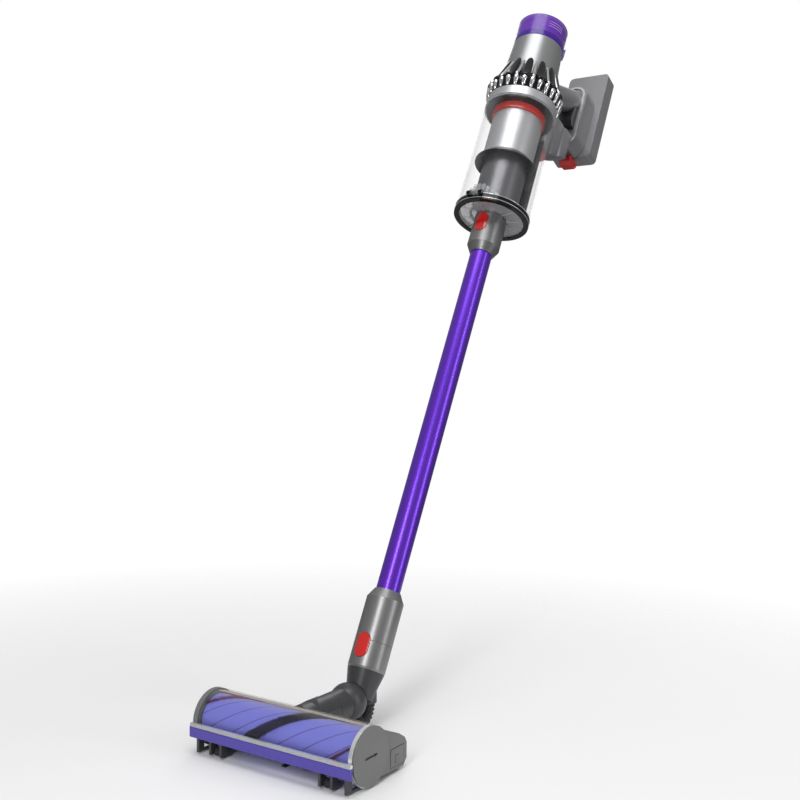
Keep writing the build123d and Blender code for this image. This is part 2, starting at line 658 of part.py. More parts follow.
def collar_button(middle_s, radius):
    """Red release button, flush with a collar's front."""
    back = -radius + BUTTON_THICK
    button = h_slot(BUTTON_LENGTH, BUTTON_WIDTH, middle_s, -radius - 5, back)
    return button & rod(radius + BUTTON_PROUD, middle_s - 40, middle_s + 40)


def button_pocket(middle_s, radius, depth):
    """The space that a release button travels in."""
    grown = 2 * BUTTON_GAP
    return h_slot(BUTTON_LENGTH + grown, BUTTON_WIDTH + grown, middle_s, -radius - 5, -radius + depth)


def head_connector():
    """Head side collar with the spigot that the wand slips over."""
    body = turned(
        [
            (CONNECTOR_BORE, CUFF_TOP_S),
            (COLLAR_RADIUS - 0.8, CUFF_TOP_S),
            (COLLAR_RADIUS, CUFF_TOP_S + 3),
            (COLLAR_RADIUS, SPLIT_S),
            (CONNECTOR_SPIGOT, SPLIT_S),
            (CONNECTOR_SPIGOT, SPLIT_S + SPIGOT_LENGTH),
            (CONNECTOR_BORE, SPLIT_S + SPIGOT_LENGTH),
        ]
    )
    return body - button_pocket(HEAD_BUTTON_S, COLLAR_RADIUS, BUTTON_DEPTH)


def build_neck():
    keep("neck_barrel", neck_barrel())
    keep("neck_pivot_pins", neck_pivot_pins())
    keep("neck_arm", neck_arm())
    keep("elbow_pin", elbow_pin())
    keep("neck_cuff", neck_cuff())
    keep("neck_hose", neck_hose())
    keep("head_connector", on_wand(head_connector()))
    keep("head_release_button", on_wand(collar_button(HEAD_BUTTON_S, COLLAR_RADIUS)))


# ---- wand ----
def wand_lower_collar():
    """Lower collar, notched for the head's release button."""
    bore = CONNECTOR_SPIGOT + SLIP_FIT
    body = turned(
        [
            (bore, SPLIT_S + LID_GAP),
            (COLLAR_RADIUS, SPLIT_S + LID_GAP),
            (COLLAR_RADIUS, LOWER_COLLAR_TOP_S - COLLAR_CHAMFER),
            (WAND_RADIUS + 1.5, LOWER_COLLAR_TOP_S),
            (WAND_RADIUS, LOWER_COLLAR_TOP_S),
            (WAND_RADIUS, TUBE_S),
            (bore, TUBE_S),
        ]
    )
    return body - button_pocket(HEAD_BUTTON_S, COLLAR_RADIUS, COLLAR_RADIUS - bore + 2.0)


def wand_upper_collar():
    """Upper collar that slips over the bin's inlet, with its release button's pocket."""
    body = turned(
        [
            (WAND_RADIUS, UPPER_COLLAR_S),
            (WAND_RADIUS + 1.5, UPPER_COLLAR_S),
            (UPPER_COLLAR_RADIUS, UPPER_COLLAR_S + COLLAR_CHAMFER),
            (UPPER_COLLAR_RADIUS, UPPER_COLLAR_TOP_S),
            (INLET_RADIUS + SLIP_FIT, UPPER_COLLAR_TOP_S),
            (INLET_RADIUS + SLIP_FIT, TUBE_TOP_S),
            (WAND_RADIUS, TUBE_TOP_S),
        ]
    )
    return body - button_pocket(UPPER_BUTTON_S, UPPER_COLLAR_RADIUS, BUTTON_DEPTH)


def wand_conductor():
    """Flat conductor strip inside the wand that feeds the head's motor."""
    depth = WAND_RADIUS - WAND_WALL - 1.0
    return block(-3.0, 3.0, depth - 1.6, depth, TUBE_S + 2, TUBE_TOP_S - 2)


def build_wand():
    tube = rod(WAND_RADIUS, TUBE_S, TUBE_TOP_S, bore=WAND_RADIUS - WAND_WALL)
    keep("wand_tube", on_wand(tube))
    keep("wand_lower_collar", on_wand(wand_lower_collar()))
    keep("wand_upper_collar", on_wand(wand_upper_collar()))
    keep("wand_release_button", on_wand(collar_button(UPPER_BUTTON_S, UPPER_COLLAR_RADIUS)))
    keep("wand_conductor", on_wand(wand_conductor()))


# ---- bin ----
def knuckle(x0, x1, bore, reach_h, low, high):
    """One hinge knuckle with the web that ties it to its piece."""
    ear = x_rod(HINGE_KNUCKLE, x0, x1, HINGE_H, BIN_S)
    ear += block(x0, x1, HINGE_H, reach_h, low, high)
    return ear - x_rod(bore, x0 - 1, x1 + 1, HINGE_H, BIN_S)


def bin_cylinder():
    """Clear bin wall with the lid hinge's middle knuckle."""
    wall = rod(BIN_RADIUS, BIN_S, BIN_TOP_S, bore=BIN_RADIUS - BIN_WALL)
    middle = knuckle(-7.0, 7.0, HINGE_PIN, -BIN_RADIUS + 1.5, BIN_S, BIN_S + HINGE_KNUCKLE)
    middle -= rod(BIN_RADIUS - BIN_WALL, BIN_S - 20, BIN_TOP_S)
    return wall + middle


def bin_base_ring():
    """Dark rim of the lid with the hinge's outer knuckles."""
    ring = rod(LID_RING_RADIUS, LID_RING_S, BIN_S - LID_GAP, bore=LID_RING_RADIUS - LID_RING_WIDTH)
    ring -= x_rod(HINGE_KNUCKLE + 0.4, -7.5, 7.5, HINGE_H, BIN_S)
    bore = HINGE_PIN + PIN_FIT
    for x0, x1 in ((-13.0, -7.4), (7.4, 13.0)):
        ring += knuckle(x0, x1, bore, -LID_RING_RADIUS + 4.0, BIN_S - HINGE_KNUCKLE, BIN_S - LID_GAP)
    return ring


def bin_lid():
    """Clear lid plate round the inlet."""
    return rod(LID_RING_RADIUS - LID_RING_WIDTH, LID_PLATE_S, LID_PLATE_S + LID_PLATE, bore=INLET_RADIUS)


def inlet_tube():
    """Short inlet through the lid that the wand plugs onto."""
    top = LID_PLATE_S + LID_PLATE + INLET_ABOVE_LID
    return rod(INLET_RADIUS, INLET_S, top, bore=INLET_RADIUS - INLET_WALL)


def lid_seal():
    """Soft ring on the lid that closes the bin's wall and the fine dust tube."""
    low = LID_PLATE_S + LID_PLATE
    return rod(COLLECTOR_RADIUS, low, low + 3.0, bore=COLLECTOR_RADIUS - 4.0)


def bin_rail():
    """Dark runner down the hand side of the bin."""
    outer = BIN_RADIUS + RAIL_DEPTH
    rail = rod(outer, BIN_S + 4, BIN_TOP_S - 12, bore=BIN_RADIUS)
    return rail & block(-RAIL_WIDTH / 2, RAIL_WIDTH / 2, 0, outer + 1, BIN_S, BIN_TOP_S)


def bin_lever():
    """Red lever that pushes the bin down and off."""
    near = BIN_RADIUS + RAIL_DEPTH + 1.0
    far = near + LEVER_REACH
    top = FAIRING_LOW_S - 1.5
    low = top - LEVER_DROP
    profile = [
        (near, low + 6),
        (near + 8, low),
        (far - 10, low + 2),
        (far, low + 12),
        (far, top),
        (near, top),
    ]
    lever = across(profile, LEVER_HALF)
    return fillet(lever.edges().filter_by(Axis.X), 2.0)


def build_bin():
    keep("bin_cylinder", on_wand(bin_cylinder()))
    keep("bin_base_ring", on_wand(bin_base_ring()))
    keep("bin_lid", on_wand(bin_lid()))
    keep("inlet_tube", on_wand(inlet_tube()))
    keep("lid_seal", on_wand(lid_seal()))
    keep("lid_hinge_pin", on_wand(x_rod(HINGE_PIN, -13.0, 13.0, HINGE_H, BIN_S)))
    keep("bin_rail", on_wand(bin_rail()))
    keep("bin_lever", on_wand(bin_lever()))


# ---- cyclone and motor unit ----
def shroud_skirt():
    """Flared skirt below the shroud."""
    thick = 1.6
    return turned(
        [
            (SHROUD_BORE, SHROUD_S),
            (SHROUD_RADIUS, SHROUD_S),
            (SKIRT_RADIUS, SKIRT_S + thick),
            (SKIRT_RADIUS, SKIRT_S),
            (SHROUD_BORE, SHROUD_S - thick - 2.4),
        ]
    )


def cyclone_outline():
    """The cyclone pack's turned body as (radius, s) points."""
    return [
        (0, CYCLONE_RING_TOP_S),
        (CYCLONE_RADIUS - 6, CYCLONE_RING_TOP_S),
        (CYCLONE_RADIUS, CYCLONE_WIDE_S),
        (CYCLONE_RADIUS - 6, CYCLONE_WIDE_S + 12),
        (CASING_LOW_RADIUS, CYCLONE_TOP_S),
        (0, CYCLONE_TOP_S),
    ]


def cyclone_pack():
    """Ring of small cone chambers round a hollow middle."""
    body = turned(cyclone_outline())
    body -= rod(MOTOR_RADIUS + 8, CYCLONE_RING_TOP_S - 1, CYCLONE_TOP_S + 1)
    for n in range(CYCLONE_COUNT):
        turn = 360.0 * (n + 0.5) / CYCLONE_COUNT
        notch = Rot(0, 0, turn) * Pos(CYCLONE_RADIUS, 0, CYCLONE_WIDE_S) * Cylinder(3.6, 60)
        body -= notch
    return body


def casing_outline(inset):
    """The motor casing's side as (radius, s) points, from bottom to top."""
    return [
        (CASING_LOW_RADIUS - inset, CYCLONE_TOP_S),
        (CASING_LOW_RADIUS - 3 - inset, CYCLONE_TOP_S + 27),
        (CASING_RADIUS + 0.5 - inset, CAP_S - 14),
        (CASING_RADIUS - inset, CAP_S),
    ]


def motor_casing():
    """Metallic casing round the motor."""
    outer = turned([(0, CYCLONE_TOP_S), *casing_outline(0.0), (0, CAP_S)])
    inner = turned([(0, CYCLONE_TOP_S), *casing_outline(CASING_WALL), (0, CAP_S)])
    return outer - inner


def filter_cap():
    """Clear coloured filter ring, open in the middle for the display."""
    wall = CAP_WALL
    low = CAP_S + CAP_GAP
    ring = turned(
        [
            (CASING_RADIUS, low),
            (CASING_RADIUS, CAP_TOP_S - 4),
            (CASING_RADIUS - 4, CAP_TOP_S),
            (DISPLAY_RADIUS + 1.0, CAP_TOP_S),
            (DISPLAY_RADIUS + 1.0, CAP_TOP_S - wall),
            (CASING_RADIUS - wall - 3, CAP_TOP_S - wall),
            (CASING_RADIUS - wall, CAP_TOP_S - wall - 3.5),
            (CASING_RADIUS - wall, low),
        ]
    )
    tab = Rot(0, 0, 38) * block(CASING_RADIUS - 1.0, CASING_RADIUS + 3.0, -7, 7, low, low + 13)
    return ring + tab


def filter_media():
    """Pleated filter inside the cap."""
    low = CAP_S + CAP_GAP + 4.0
    return rod(CASING_RADIUS - CAP_WALL - 0.6, low, CAP_TOP_S - CAP_WALL - 5.0, bore=DISPLAY_RADIUS + 1.5)


def display_module():
    """Round display unit on a stem through the filter."""
    stem = rod(DISPLAY_RADIUS, CAP_S - 6.0, CAP_TOP_S - 1.0)
    stem -= rod(DISPLAY_RADIUS - 3.0, CAP_S - 7.0, CAP_TOP_S - 6.0)
    brim = rod(CASING_RADIUS - CASING_WALL, CAP_S - 9, CAP_S - 6, bore=DISPLAY_RADIUS - 3.0)
    well = rod(MODE_BUTTON_RADIUS + BUTTON_GAP, CAP_TOP_S - 4.5, CAP_TOP_S + 1)
    return stem + brim - Pos(0, MODE_BUTTON_H, 0) * well


def mode_button():
    """Round mode button."""
    return Pos(0, MODE_BUTTON_H, 0) * rod(MODE_BUTTON_RADIUS, CAP_TOP_S - 3.0, CAP_TOP_S - 0.2)


def motor_can():
    """Motor stator and its housing."""
    can = rod(MOTOR_RADIUS, MOTOR_S, MOTOR_S + MOTOR_LENGTH, bore=SHAFT_RADIUS + SHAFT_FIT)
    flange = rod(CASING_LOW_RADIUS - 8.0, MOTOR_S, MOTOR_S + 4, bore=MOTOR_RADIUS - 1)
    return can + flange


def motor_rotor():
    """Shaft with the impeller."""
    low = MOTOR_S + MOTOR_LENGTH + 3.0
    high = low + IMPELLER_HEIGHT
    rotor = rod(SHAFT_RADIUS, MOTOR_S - 6, high)
    rotor += turned([(0, low), (IMPELLER_RADIUS, low), (IMPELLER_RADIUS, low + 1.5), (8, high), (0, high)])
    for n in range(VANE_COUNT):
        vane = block(6, IMPELLER_RADIUS - 1, -0.6, 0.6, low + 1, high - 2)
        rotor += Rot(0, 0, 360.0 * n / VANE_COUNT) * vane
    return rotor


def build_unit():
    red_top = SHROUD_TOP_S + RED_RING_HEIGHT
    red_radius = SHROUD_RADIUS + RED_RING_STEP
    collector = rod(COLLECTOR_RADIUS, COLLECTOR_S, SHROUD_S - 1, bore=COLLECTOR_RADIUS - SLEEVE_WALL)
    keep("collector_tube", on_wand(collector))
    keep("shroud", on_wand(rod(SHROUD_RADIUS, SHROUD_S, SHROUD_TOP_S, bore=SHROUD_BORE)))
    keep("shroud_skirt", on_wand(shroud_skirt()))
    keep("red_seal_ring", on_wand(rod(red_radius, SHROUD_TOP_S, red_top, bore=SHROUD_BORE)))
    keep("bin_seal", on_wand(rod(SEAL_RADIUS, red_top, CYCLONE_RING_S, bore=SHROUD_BORE)))
    keep("cyclone_ring", on_wand(rod(BIN_RADIUS, CYCLONE_RING_S, CYCLONE_RING_TOP_S, bore=SHROUD_BORE)))
    keep("cyclone_pack", on_wand(cyclone_pack()))
    keep("motor_casing", on_wand(motor_casing()))
    keep("motor_can", on_wand(motor_can()))
    keep("motor_rotor", on_wand(motor_rotor()))
    keep("filter_cap", on_wand(filter_cap()))
    keep("filter_media", on_wand(filter_media()))
    keep("display_module", on_wand(display_module()))
    keep("mode_button", on_wand(mode_button()))


# ---- handle and battery ----
def along_grip(distance, down=0.0):
    """An (h, s) point on the grip's middle line, or that far below it."""
    turn = math.radians(GRIP_TILT)
    h = GRIP_ROOT_H + distance * math.cos(turn) + down * math.sin(turn)
    s = GRIP_ROOT_S + distance * math.sin(turn) - down * math.cos(turn)
    return h, s


def grip_frame():
    """Local frame at the grip's root: its z runs along the grip."""
    return Pos(0, GRIP_ROOT_H, GRIP_ROOT_S) * Rot(-90 + GRIP_TILT, 0, 0)


def unit_solid():
    """The cyclone and casing as one filled solid, to fit neighbours against."""
    return turned(cyclone_outline()) + turned([(0, CYCLONE_TOP_S), *casing_outline(0.0), (0, CAP_S)])


def handle_grip():
    """Oval pistol grip with the trigger's pocket."""
    grip = grip_solid() - unit_solid()
    grip -= block(-60, 60, BOSS_H, BOSS_H + 100, BOSS_S - 50, BOSS_TOP_S + 100)
    grip -= trigger_pin()
    return grip - across(trigger_pocket(), TRIGGER_HALF + TRIGGER_GAP)


def by_pin(ahead, below):
    """An (h, s) point placed from the trigger's pin, along the grip and below it."""
    return along_grip(TRIGGER_PIN_ALONG + ahead, TRIGGER_PIN_DOWN + below)


def trigger_profile():
    """The trigger's outline in (h, s)."""
    foot = 17.0
    return [
        by_pin(-5, -5),
        by_pin(TRIGGER_NOSE - 4, 0),
        by_pin(TRIGGER_NOSE, TRIGGER_NOSE_DROP),
        by_pin(TRIGGER_NOSE - 10, foot),
        by_pin(5, foot),
        by_pin(-5, TRIGGER_NOSE_DROP),
    ]


def trigger_pocket():
    """The pocket that the trigger swings into, clear of the round that its nose sweeps, in (h, s)."""
    ahead = TRIGGER_SWEEP + 0.8
    return [by_pin(-7, -7), by_pin(ahead, -TRIGGER_ROOM), by_pin(ahead, 17), by_pin(-7, 17)]


def trigger():
    """Trigger under the grip, hung on a cross pin."""
    body = across(trigger_profile(), TRIGGER_HALF)
    return body - x_rod(TRIGGER_PIN + PIN_FIT, -20, 20, *by_pin(0, 0))


def trigger_pin():
    """The trigger's pin."""
    half = TRIGGER_HALF + 4.0
    return x_rod(TRIGGER_PIN, -half, half, *by_pin(0, 0))


def handle_fairing():
    """Strut from the cyclone to the battery boss, below the fingers."""
    profile = [
        (FAIRING_H - 6, FAIRING_TOP_S),
        (FAIRING_H + 36, FAIRING_TOP_S),
        (BOSS_H, FAIRING_TOP_S + 10),
        (BOSS_H, BOSS_S - 16),
        (BOSS_H - 5, BOSS_S - 32),
        (FAIRING_H + 30, FAIRING_LOW_S),
        (FAIRING_H, FAIRING_LOW_S),
        (FAIRING_H, CYCLONE_RING_S + 2),
        (FAIRING_H - 8, CYCLONE_RING_S + 4),
    ]
    body = across(profile, FAIRING_HALF)
    body -= rod(BIN_RADIUS, CYCLONE_RING_S, CYCLONE_RING_TOP_S)
    return body - unit_solid()


def finger_guard():
    """Dark liner at the back of the finger gap."""
    low = BOSS_S + 37.0
    top = low + 48.0
    profile = [
        (BOSS_H - 16, low + 9),
        (BOSS_H - 9, low + 1),
        (BOSS_H, low),
        (BOSS_H, top),
        (BOSS_H - 12, top),
    ]
    return across(profile, GRIP_ACROSS - 3.0) - grip_solid()


def grip_solid():
    """The grip's full oval."""
    length = (BOSS_H - GRIP_ROOT_H) / math.cos(math.radians(GRIP_TILT))
    return grip_frame() * extrude(Ellipse(GRIP_ACROSS, GRIP_DEEP), amount=length + 6)


def handle_boss():
    """Oblong socket at the grip's end that takes the battery's stub."""
    top = BOSS_H + BOSS_DEPTH
    boss = h_slot(BOSS_LENGTH, BOSS_HALF * 2, BOSS_MID_S, BOSS_H, top)
    half_x = STUB_HALF + BATTERY_GAP
    half_s = STUB_LENGTH / 2 + BATTERY_GAP
    depth = STUB_DEPTH + BATTERY_GAP
    return boss - block(-half_x, half_x, top - depth, top + 1, BOSS_MID_S - half_s, BOSS_MID_S + half_s)


def battery_case():
    """Battery slab with the stub that plugs into the boss."""
    face = Plane.XZ * RectangleRounded(BATTERY_HALF * 2, BATTERY_LENGTH, BATTERY_CORNER)
    slab = Pos(0, BATTERY_BACK_H, BATTERY_MID_S) * extrude(face, amount=BATTERY_THICK)
    slab = fillet(slab.faces().sort_by(Axis.Y)[-1].edges(), 3.0)
    half_s = STUB_LENGTH / 2
    front = BATTERY_H - STUB_DEPTH
    slab += block(-STUB_HALF, STUB_HALF, front, BATTERY_H, BOSS_MID_S - half_s, BOSS_MID_S + half_s)
    inner = BATTERY_H + BATTERY_SKIN
    first, second = cell_rows()
    half_x = CELL_SPACING + CELL_RADIUS + 2.0
    slab -= block(-half_x, half_x, inner, inner + 2 * CELL_RADIUS + 0.6, first - 2, second + CELL_LENGTH + 2)
    half = CATCH_STEM + BATTERY_GAP
    low = CATCH_STEM_H - BATTERY_GAP
    high = CATCH_STEM_H + CATCH_STEM_DEEP + BATTERY_GAP
    return slab - block(-half, half, low, high, BATTERY_S - 1, BATTERY_S + CATCH_STEM_IN + 4)


def cell_rows():
    """Where the two rows of cells start along s."""
    first = BATTERY_MID_S - CELL_LENGTH - 1.0
    return [first, first + CELL_LENGTH + 2.0]


def battery_cells():
    """Six round cells in two rows of three."""
    cells = []
    for low in cell_rows():
        for column in (-1, 0, 1):
            middle_h = BATTERY_H + BATTERY_SKIN + CELL_RADIUS + 0.3
            cell = rod(CELL_RADIUS, low, low + CELL_LENGTH)
            cells.append(Pos(column * CELL_SPACING, middle_h, 0) * cell)
    return Compound(children=cells)


def battery_catch():
    """Red catch under the boss that frees the battery."""
    near = BATTERY_H - 16.0
    far = CATCH_STEM_H + CATCH_STEM_DEEP + 2.0
    profile = [
        (near, CATCH_TOP_S - 10),
        (near + 6, CATCH_TOP_S - 15),
        (far - 5, CATCH_TOP_S - 12),
        (far, CATCH_TOP_S - 5),
        (far, CATCH_TOP_S),
        (near, CATCH_TOP_S),
    ]
    body = fillet(across(profile, CATCH_HALF).edges().filter_by(Axis.X), 1.5)
    stem_far = CATCH_STEM_H + CATCH_STEM_DEEP
    stem_top = BATTERY_S + CATCH_STEM_IN
    return body + block(-CATCH_STEM, CATCH_STEM, CATCH_STEM_H, stem_far, CATCH_TOP_S - 0.5, stem_top)


def build_handle():
    keep("handle_grip", on_wand(handle_grip()))
    keep("trigger", on_wand(trigger()))
    keep("trigger_pin", on_wand(trigger_pin()))
    keep("finger_guard", on_wand(finger_guard()))
    keep("handle_fairing", on_wand(handle_fairing()))
    keep("handle_boss", on_wand(handle_boss()))
    keep("battery_case", on_wand(battery_case()))
    keep("battery_cells", on_wand(battery_cells()))
    keep("battery_catch", on_wand(battery_catch()))


build_head()
build_neck()
build_wand()
build_bin()
build_unit()
build_handle()

os.makedirs("parts", exist_ok=True)
for node, piece in PARTS.items():
    export_step(piece, os.path.join("parts", node + ".step"))
print(len(PARTS), "nodes")
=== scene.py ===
import json
import math
import random

import bpy
from mathutils import Matrix, Vector


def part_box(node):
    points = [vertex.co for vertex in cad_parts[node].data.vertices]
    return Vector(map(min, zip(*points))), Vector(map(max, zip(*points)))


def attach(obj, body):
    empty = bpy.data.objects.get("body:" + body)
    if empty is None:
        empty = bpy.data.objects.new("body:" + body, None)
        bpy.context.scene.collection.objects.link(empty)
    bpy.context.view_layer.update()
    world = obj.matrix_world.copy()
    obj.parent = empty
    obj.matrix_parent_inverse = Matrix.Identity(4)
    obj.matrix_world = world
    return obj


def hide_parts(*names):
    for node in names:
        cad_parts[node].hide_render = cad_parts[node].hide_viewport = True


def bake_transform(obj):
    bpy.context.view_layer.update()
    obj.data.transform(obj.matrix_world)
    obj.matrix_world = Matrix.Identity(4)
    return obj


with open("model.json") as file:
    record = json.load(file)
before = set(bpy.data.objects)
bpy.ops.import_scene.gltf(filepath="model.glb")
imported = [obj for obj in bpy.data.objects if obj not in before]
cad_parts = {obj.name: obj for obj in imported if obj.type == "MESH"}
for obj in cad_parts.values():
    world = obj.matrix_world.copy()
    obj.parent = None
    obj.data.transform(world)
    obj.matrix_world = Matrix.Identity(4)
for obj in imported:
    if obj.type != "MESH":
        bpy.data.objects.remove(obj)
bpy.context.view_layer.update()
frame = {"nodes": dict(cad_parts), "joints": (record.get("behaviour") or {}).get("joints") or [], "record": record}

# Looks of the cordless stick vacuum, in metres. Pieces of the wand, bin and motor unit are drawn in the
# wand's own frame, (x, h, s): x across, h towards the hand and s up along the wand from the filter cap's
# lower edge.

JOINTS = {joint["name"]: joint for joint in frame["joints"]}
NODES = frame["nodes"]
MM = 0.001


# ---- places taken from the frame ----
def unit_axes():
    """The wand frame's matrix, from the filter cap's twist joint."""
    up = Vector(JOINTS["filter_twist"]["axis"]).normalized()
    across = Vector((1.0, 0.0, 0.0))
    hand = up.cross(across)
    matrix = Matrix((across, hand, up)).transposed().to_4x4()
    matrix.translation = Vector(JOINTS["filter_twist"]["pos_m"])
    return matrix


WAND = unit_axes()
WAND_BACK = WAND.inverted()


def wand_box(node):
    """(lowest, highest) corner of a CAD node in the wand's frame."""
    points = [WAND_BACK @ v.co for v in NODES[node].data.vertices]
    low = Vector([min(p[k] for p in points) for k in range(3)])
    high = Vector([max(p[k] for p in points) for k in range(3)])
    return low, high


def joint_point(name):
    """Where a joint's axis lies."""
    return Vector(JOINTS[name]["pos_m"])


# ---- materials ----
def add_node(tree, kind, **values):
    """A shader node with its settings, or socket values by name with _ for a space."""
    node = tree.nodes.new(kind)
    for key, value in values.items():
        if hasattr(node, key):
            setattr(node, key, value)
        else:
            node.inputs[key.replace("_", " ")].default_value = value
    return node


def new_material(name):
    """A material with its node tree and its shader."""
    material = bpy.data.materials.new(name)
    material.use_nodes = True
    tree = material.node_tree
    shader = tree.nodes["Principled BSDF"]
    return material, tree, shader


def object_place(tree, scale=(1.0, 1.0, 1.0), turn=(0.0, 0.0, 0.0)):
    """Object coordinates, scaled and turned."""
    place = add_node(tree, "ShaderNodeTexCoord")
    mapping = add_node(tree, "ShaderNodeMapping")
    mapping.inputs["Scale"].default_value = scale
    mapping.inputs["Rotation"].default_value = turn
    tree.links.new(place.outputs["Object"], mapping.inputs["Vector"])
    return mapping.outputs["Vector"]


def noise_at(tree, vector, size, detail=3.0):
    """Noise whose features are about size metres wide."""
    noise = add_node(tree, "ShaderNodeTexNoise", Scale=1.0 / size, Detail=detail)
    tree.links.new(vector, noise.inputs["Vector"])
    return noise.outputs["Fac"]


def spread(tree, source, low, high):
    """A value that goes from low to high with source."""
    span = add_node(tree, "ShaderNodeMapRange", From_Min=0.3, From_Max=0.7, To_Min=low, To_Max=high)
    tree.links.new(source, span.inputs["Value"])
    return span.outputs["Result"]


def colour_mix(tree, source):
    """A mix of two colours by source, as its two colour sockets and its result."""
    mix = add_node(tree, "ShaderNodeMix", data_type="RGBA")
    tree.links.new(source, mix.inputs["Factor"])
    first, second = (socket for socket in mix.inputs if socket.type == "RGBA")
    return first, second, next(socket for socket in mix.outputs if socket.type == "RGBA")


def two_tone(tree, source, dark, light):
    """A colour that goes from dark to light with source."""
    first, second, colour = colour_mix(tree, source)
    first.default_value = (*dark, 1.0)
    second.default_value = (*light, 1.0)
    return colour


def add_bump(tree, shader, height, strength, depth):
    """Fine relief on a shader's normal, depth metres deep."""
    bump = add_node(tree, "ShaderNodeBump", Strength=strength, Distance=depth)
    tree.links.new(height, bump.inputs["Height"])
    tree.links.new(bump.outputs["Normal"], shader.inputs["Normal"])
    return bump


def shade(colour, amount):
    """A colour made lighter or darker."""
    return tuple(max(0.0, min(1.0, c * amount)) for c in colour)


BEVEL_RADIUS = 0.5 * MM
MOTTLE_SIZE = 35 * MM
LEAST_ROUGH = 0.02


def surface(name, colour, rough, metallic=0.0, grain=0.6 * MM, depth=0.02 * MM, tone=0.06,
            rough_spread=0.06, coat=0.0, coat_rough=0.1, streak=None, **extra):
    """A moulded, cast or anodised finish: mottled colour, uneven roughness, fine grain and soft edges."""
    material, tree, shader = new_material(name)
    shader.inputs["Metallic"].default_value = metallic
    shader.inputs["Coat Weight"].default_value = coat
    shader.inputs["Coat Roughness"].default_value = coat_rough
    for key, value in extra.items():
        shader.inputs[key.replace("_", " ")].default_value = value
    wide = noise_at(tree, object_place(tree), MOTTLE_SIZE)
    mottled = two_tone(tree, wide, shade(colour, 1 - tone), shade(colour, 1 + tone))
    tree.links.new(mottled, shader.inputs["Base Color"])
    if streak:
        fine_place = object_place(tree, scale=streak, turn=(LEAN, 0.0, 0.0))
    else:
        fine_place = object_place(tree)
    fine = noise_at(tree, fine_place, grain, detail=4.0)
    uneven = spread(tree, fine, max(LEAST_ROUGH, rough - rough_spread), rough + rough_spread)
    tree.links.new(uneven, shader.inputs["Roughness"])
    bump = add_bump(tree, shader, fine, 0.6, depth)
    soft = add_node(tree, "ShaderNodeBevel", samples=4, Radius=BEVEL_RADIUS)
    tree.links.new(soft.outputs["Normal"], bump.inputs["Normal"])
    return material


def clear_plastic(name, colour, face_alpha, edge_alpha, rough=0.04):
    """Thin clear plastic: nearly unseen square on, greyer at its edges, glossy, with fine scuffs."""
    material, tree, shader = new_material(name)
    shader.inputs["Specular IOR Level"].default_value = 0.6
    wide = noise_at(tree, object_place(tree), 20 * MM)
    mottled = two_tone(tree, wide, shade(colour, 0.96), shade(colour, 1.02))
    tree.links.new(mottled, shader.inputs["Base Color"])
    scuff = noise_at(tree, object_place(tree), 2.5 * MM, detail=6.0)
    tree.links.new(spread(tree, scuff, rough, rough + 0.05), shader.inputs["Roughness"])
    edge = add_node(tree, "ShaderNodeLayerWeight", Blend=0.35)
    span = add_node(tree, "ShaderNodeMapRange", From_Min=0.25, From_Max=1.0)
    span.inputs["To Min"].default_value = face_alpha
    span.inputs["To Max"].default_value = edge_alpha
    tree.links.new(edge.outputs["Facing"], span.inputs["Value"])
    tree.links.new(span.outputs["Result"], shader.inputs["Alpha"])
    return material


LEAN = math.acos(WAND.col[2].z)
ALONG_WAND = (1.0, 1.0, 0.02)

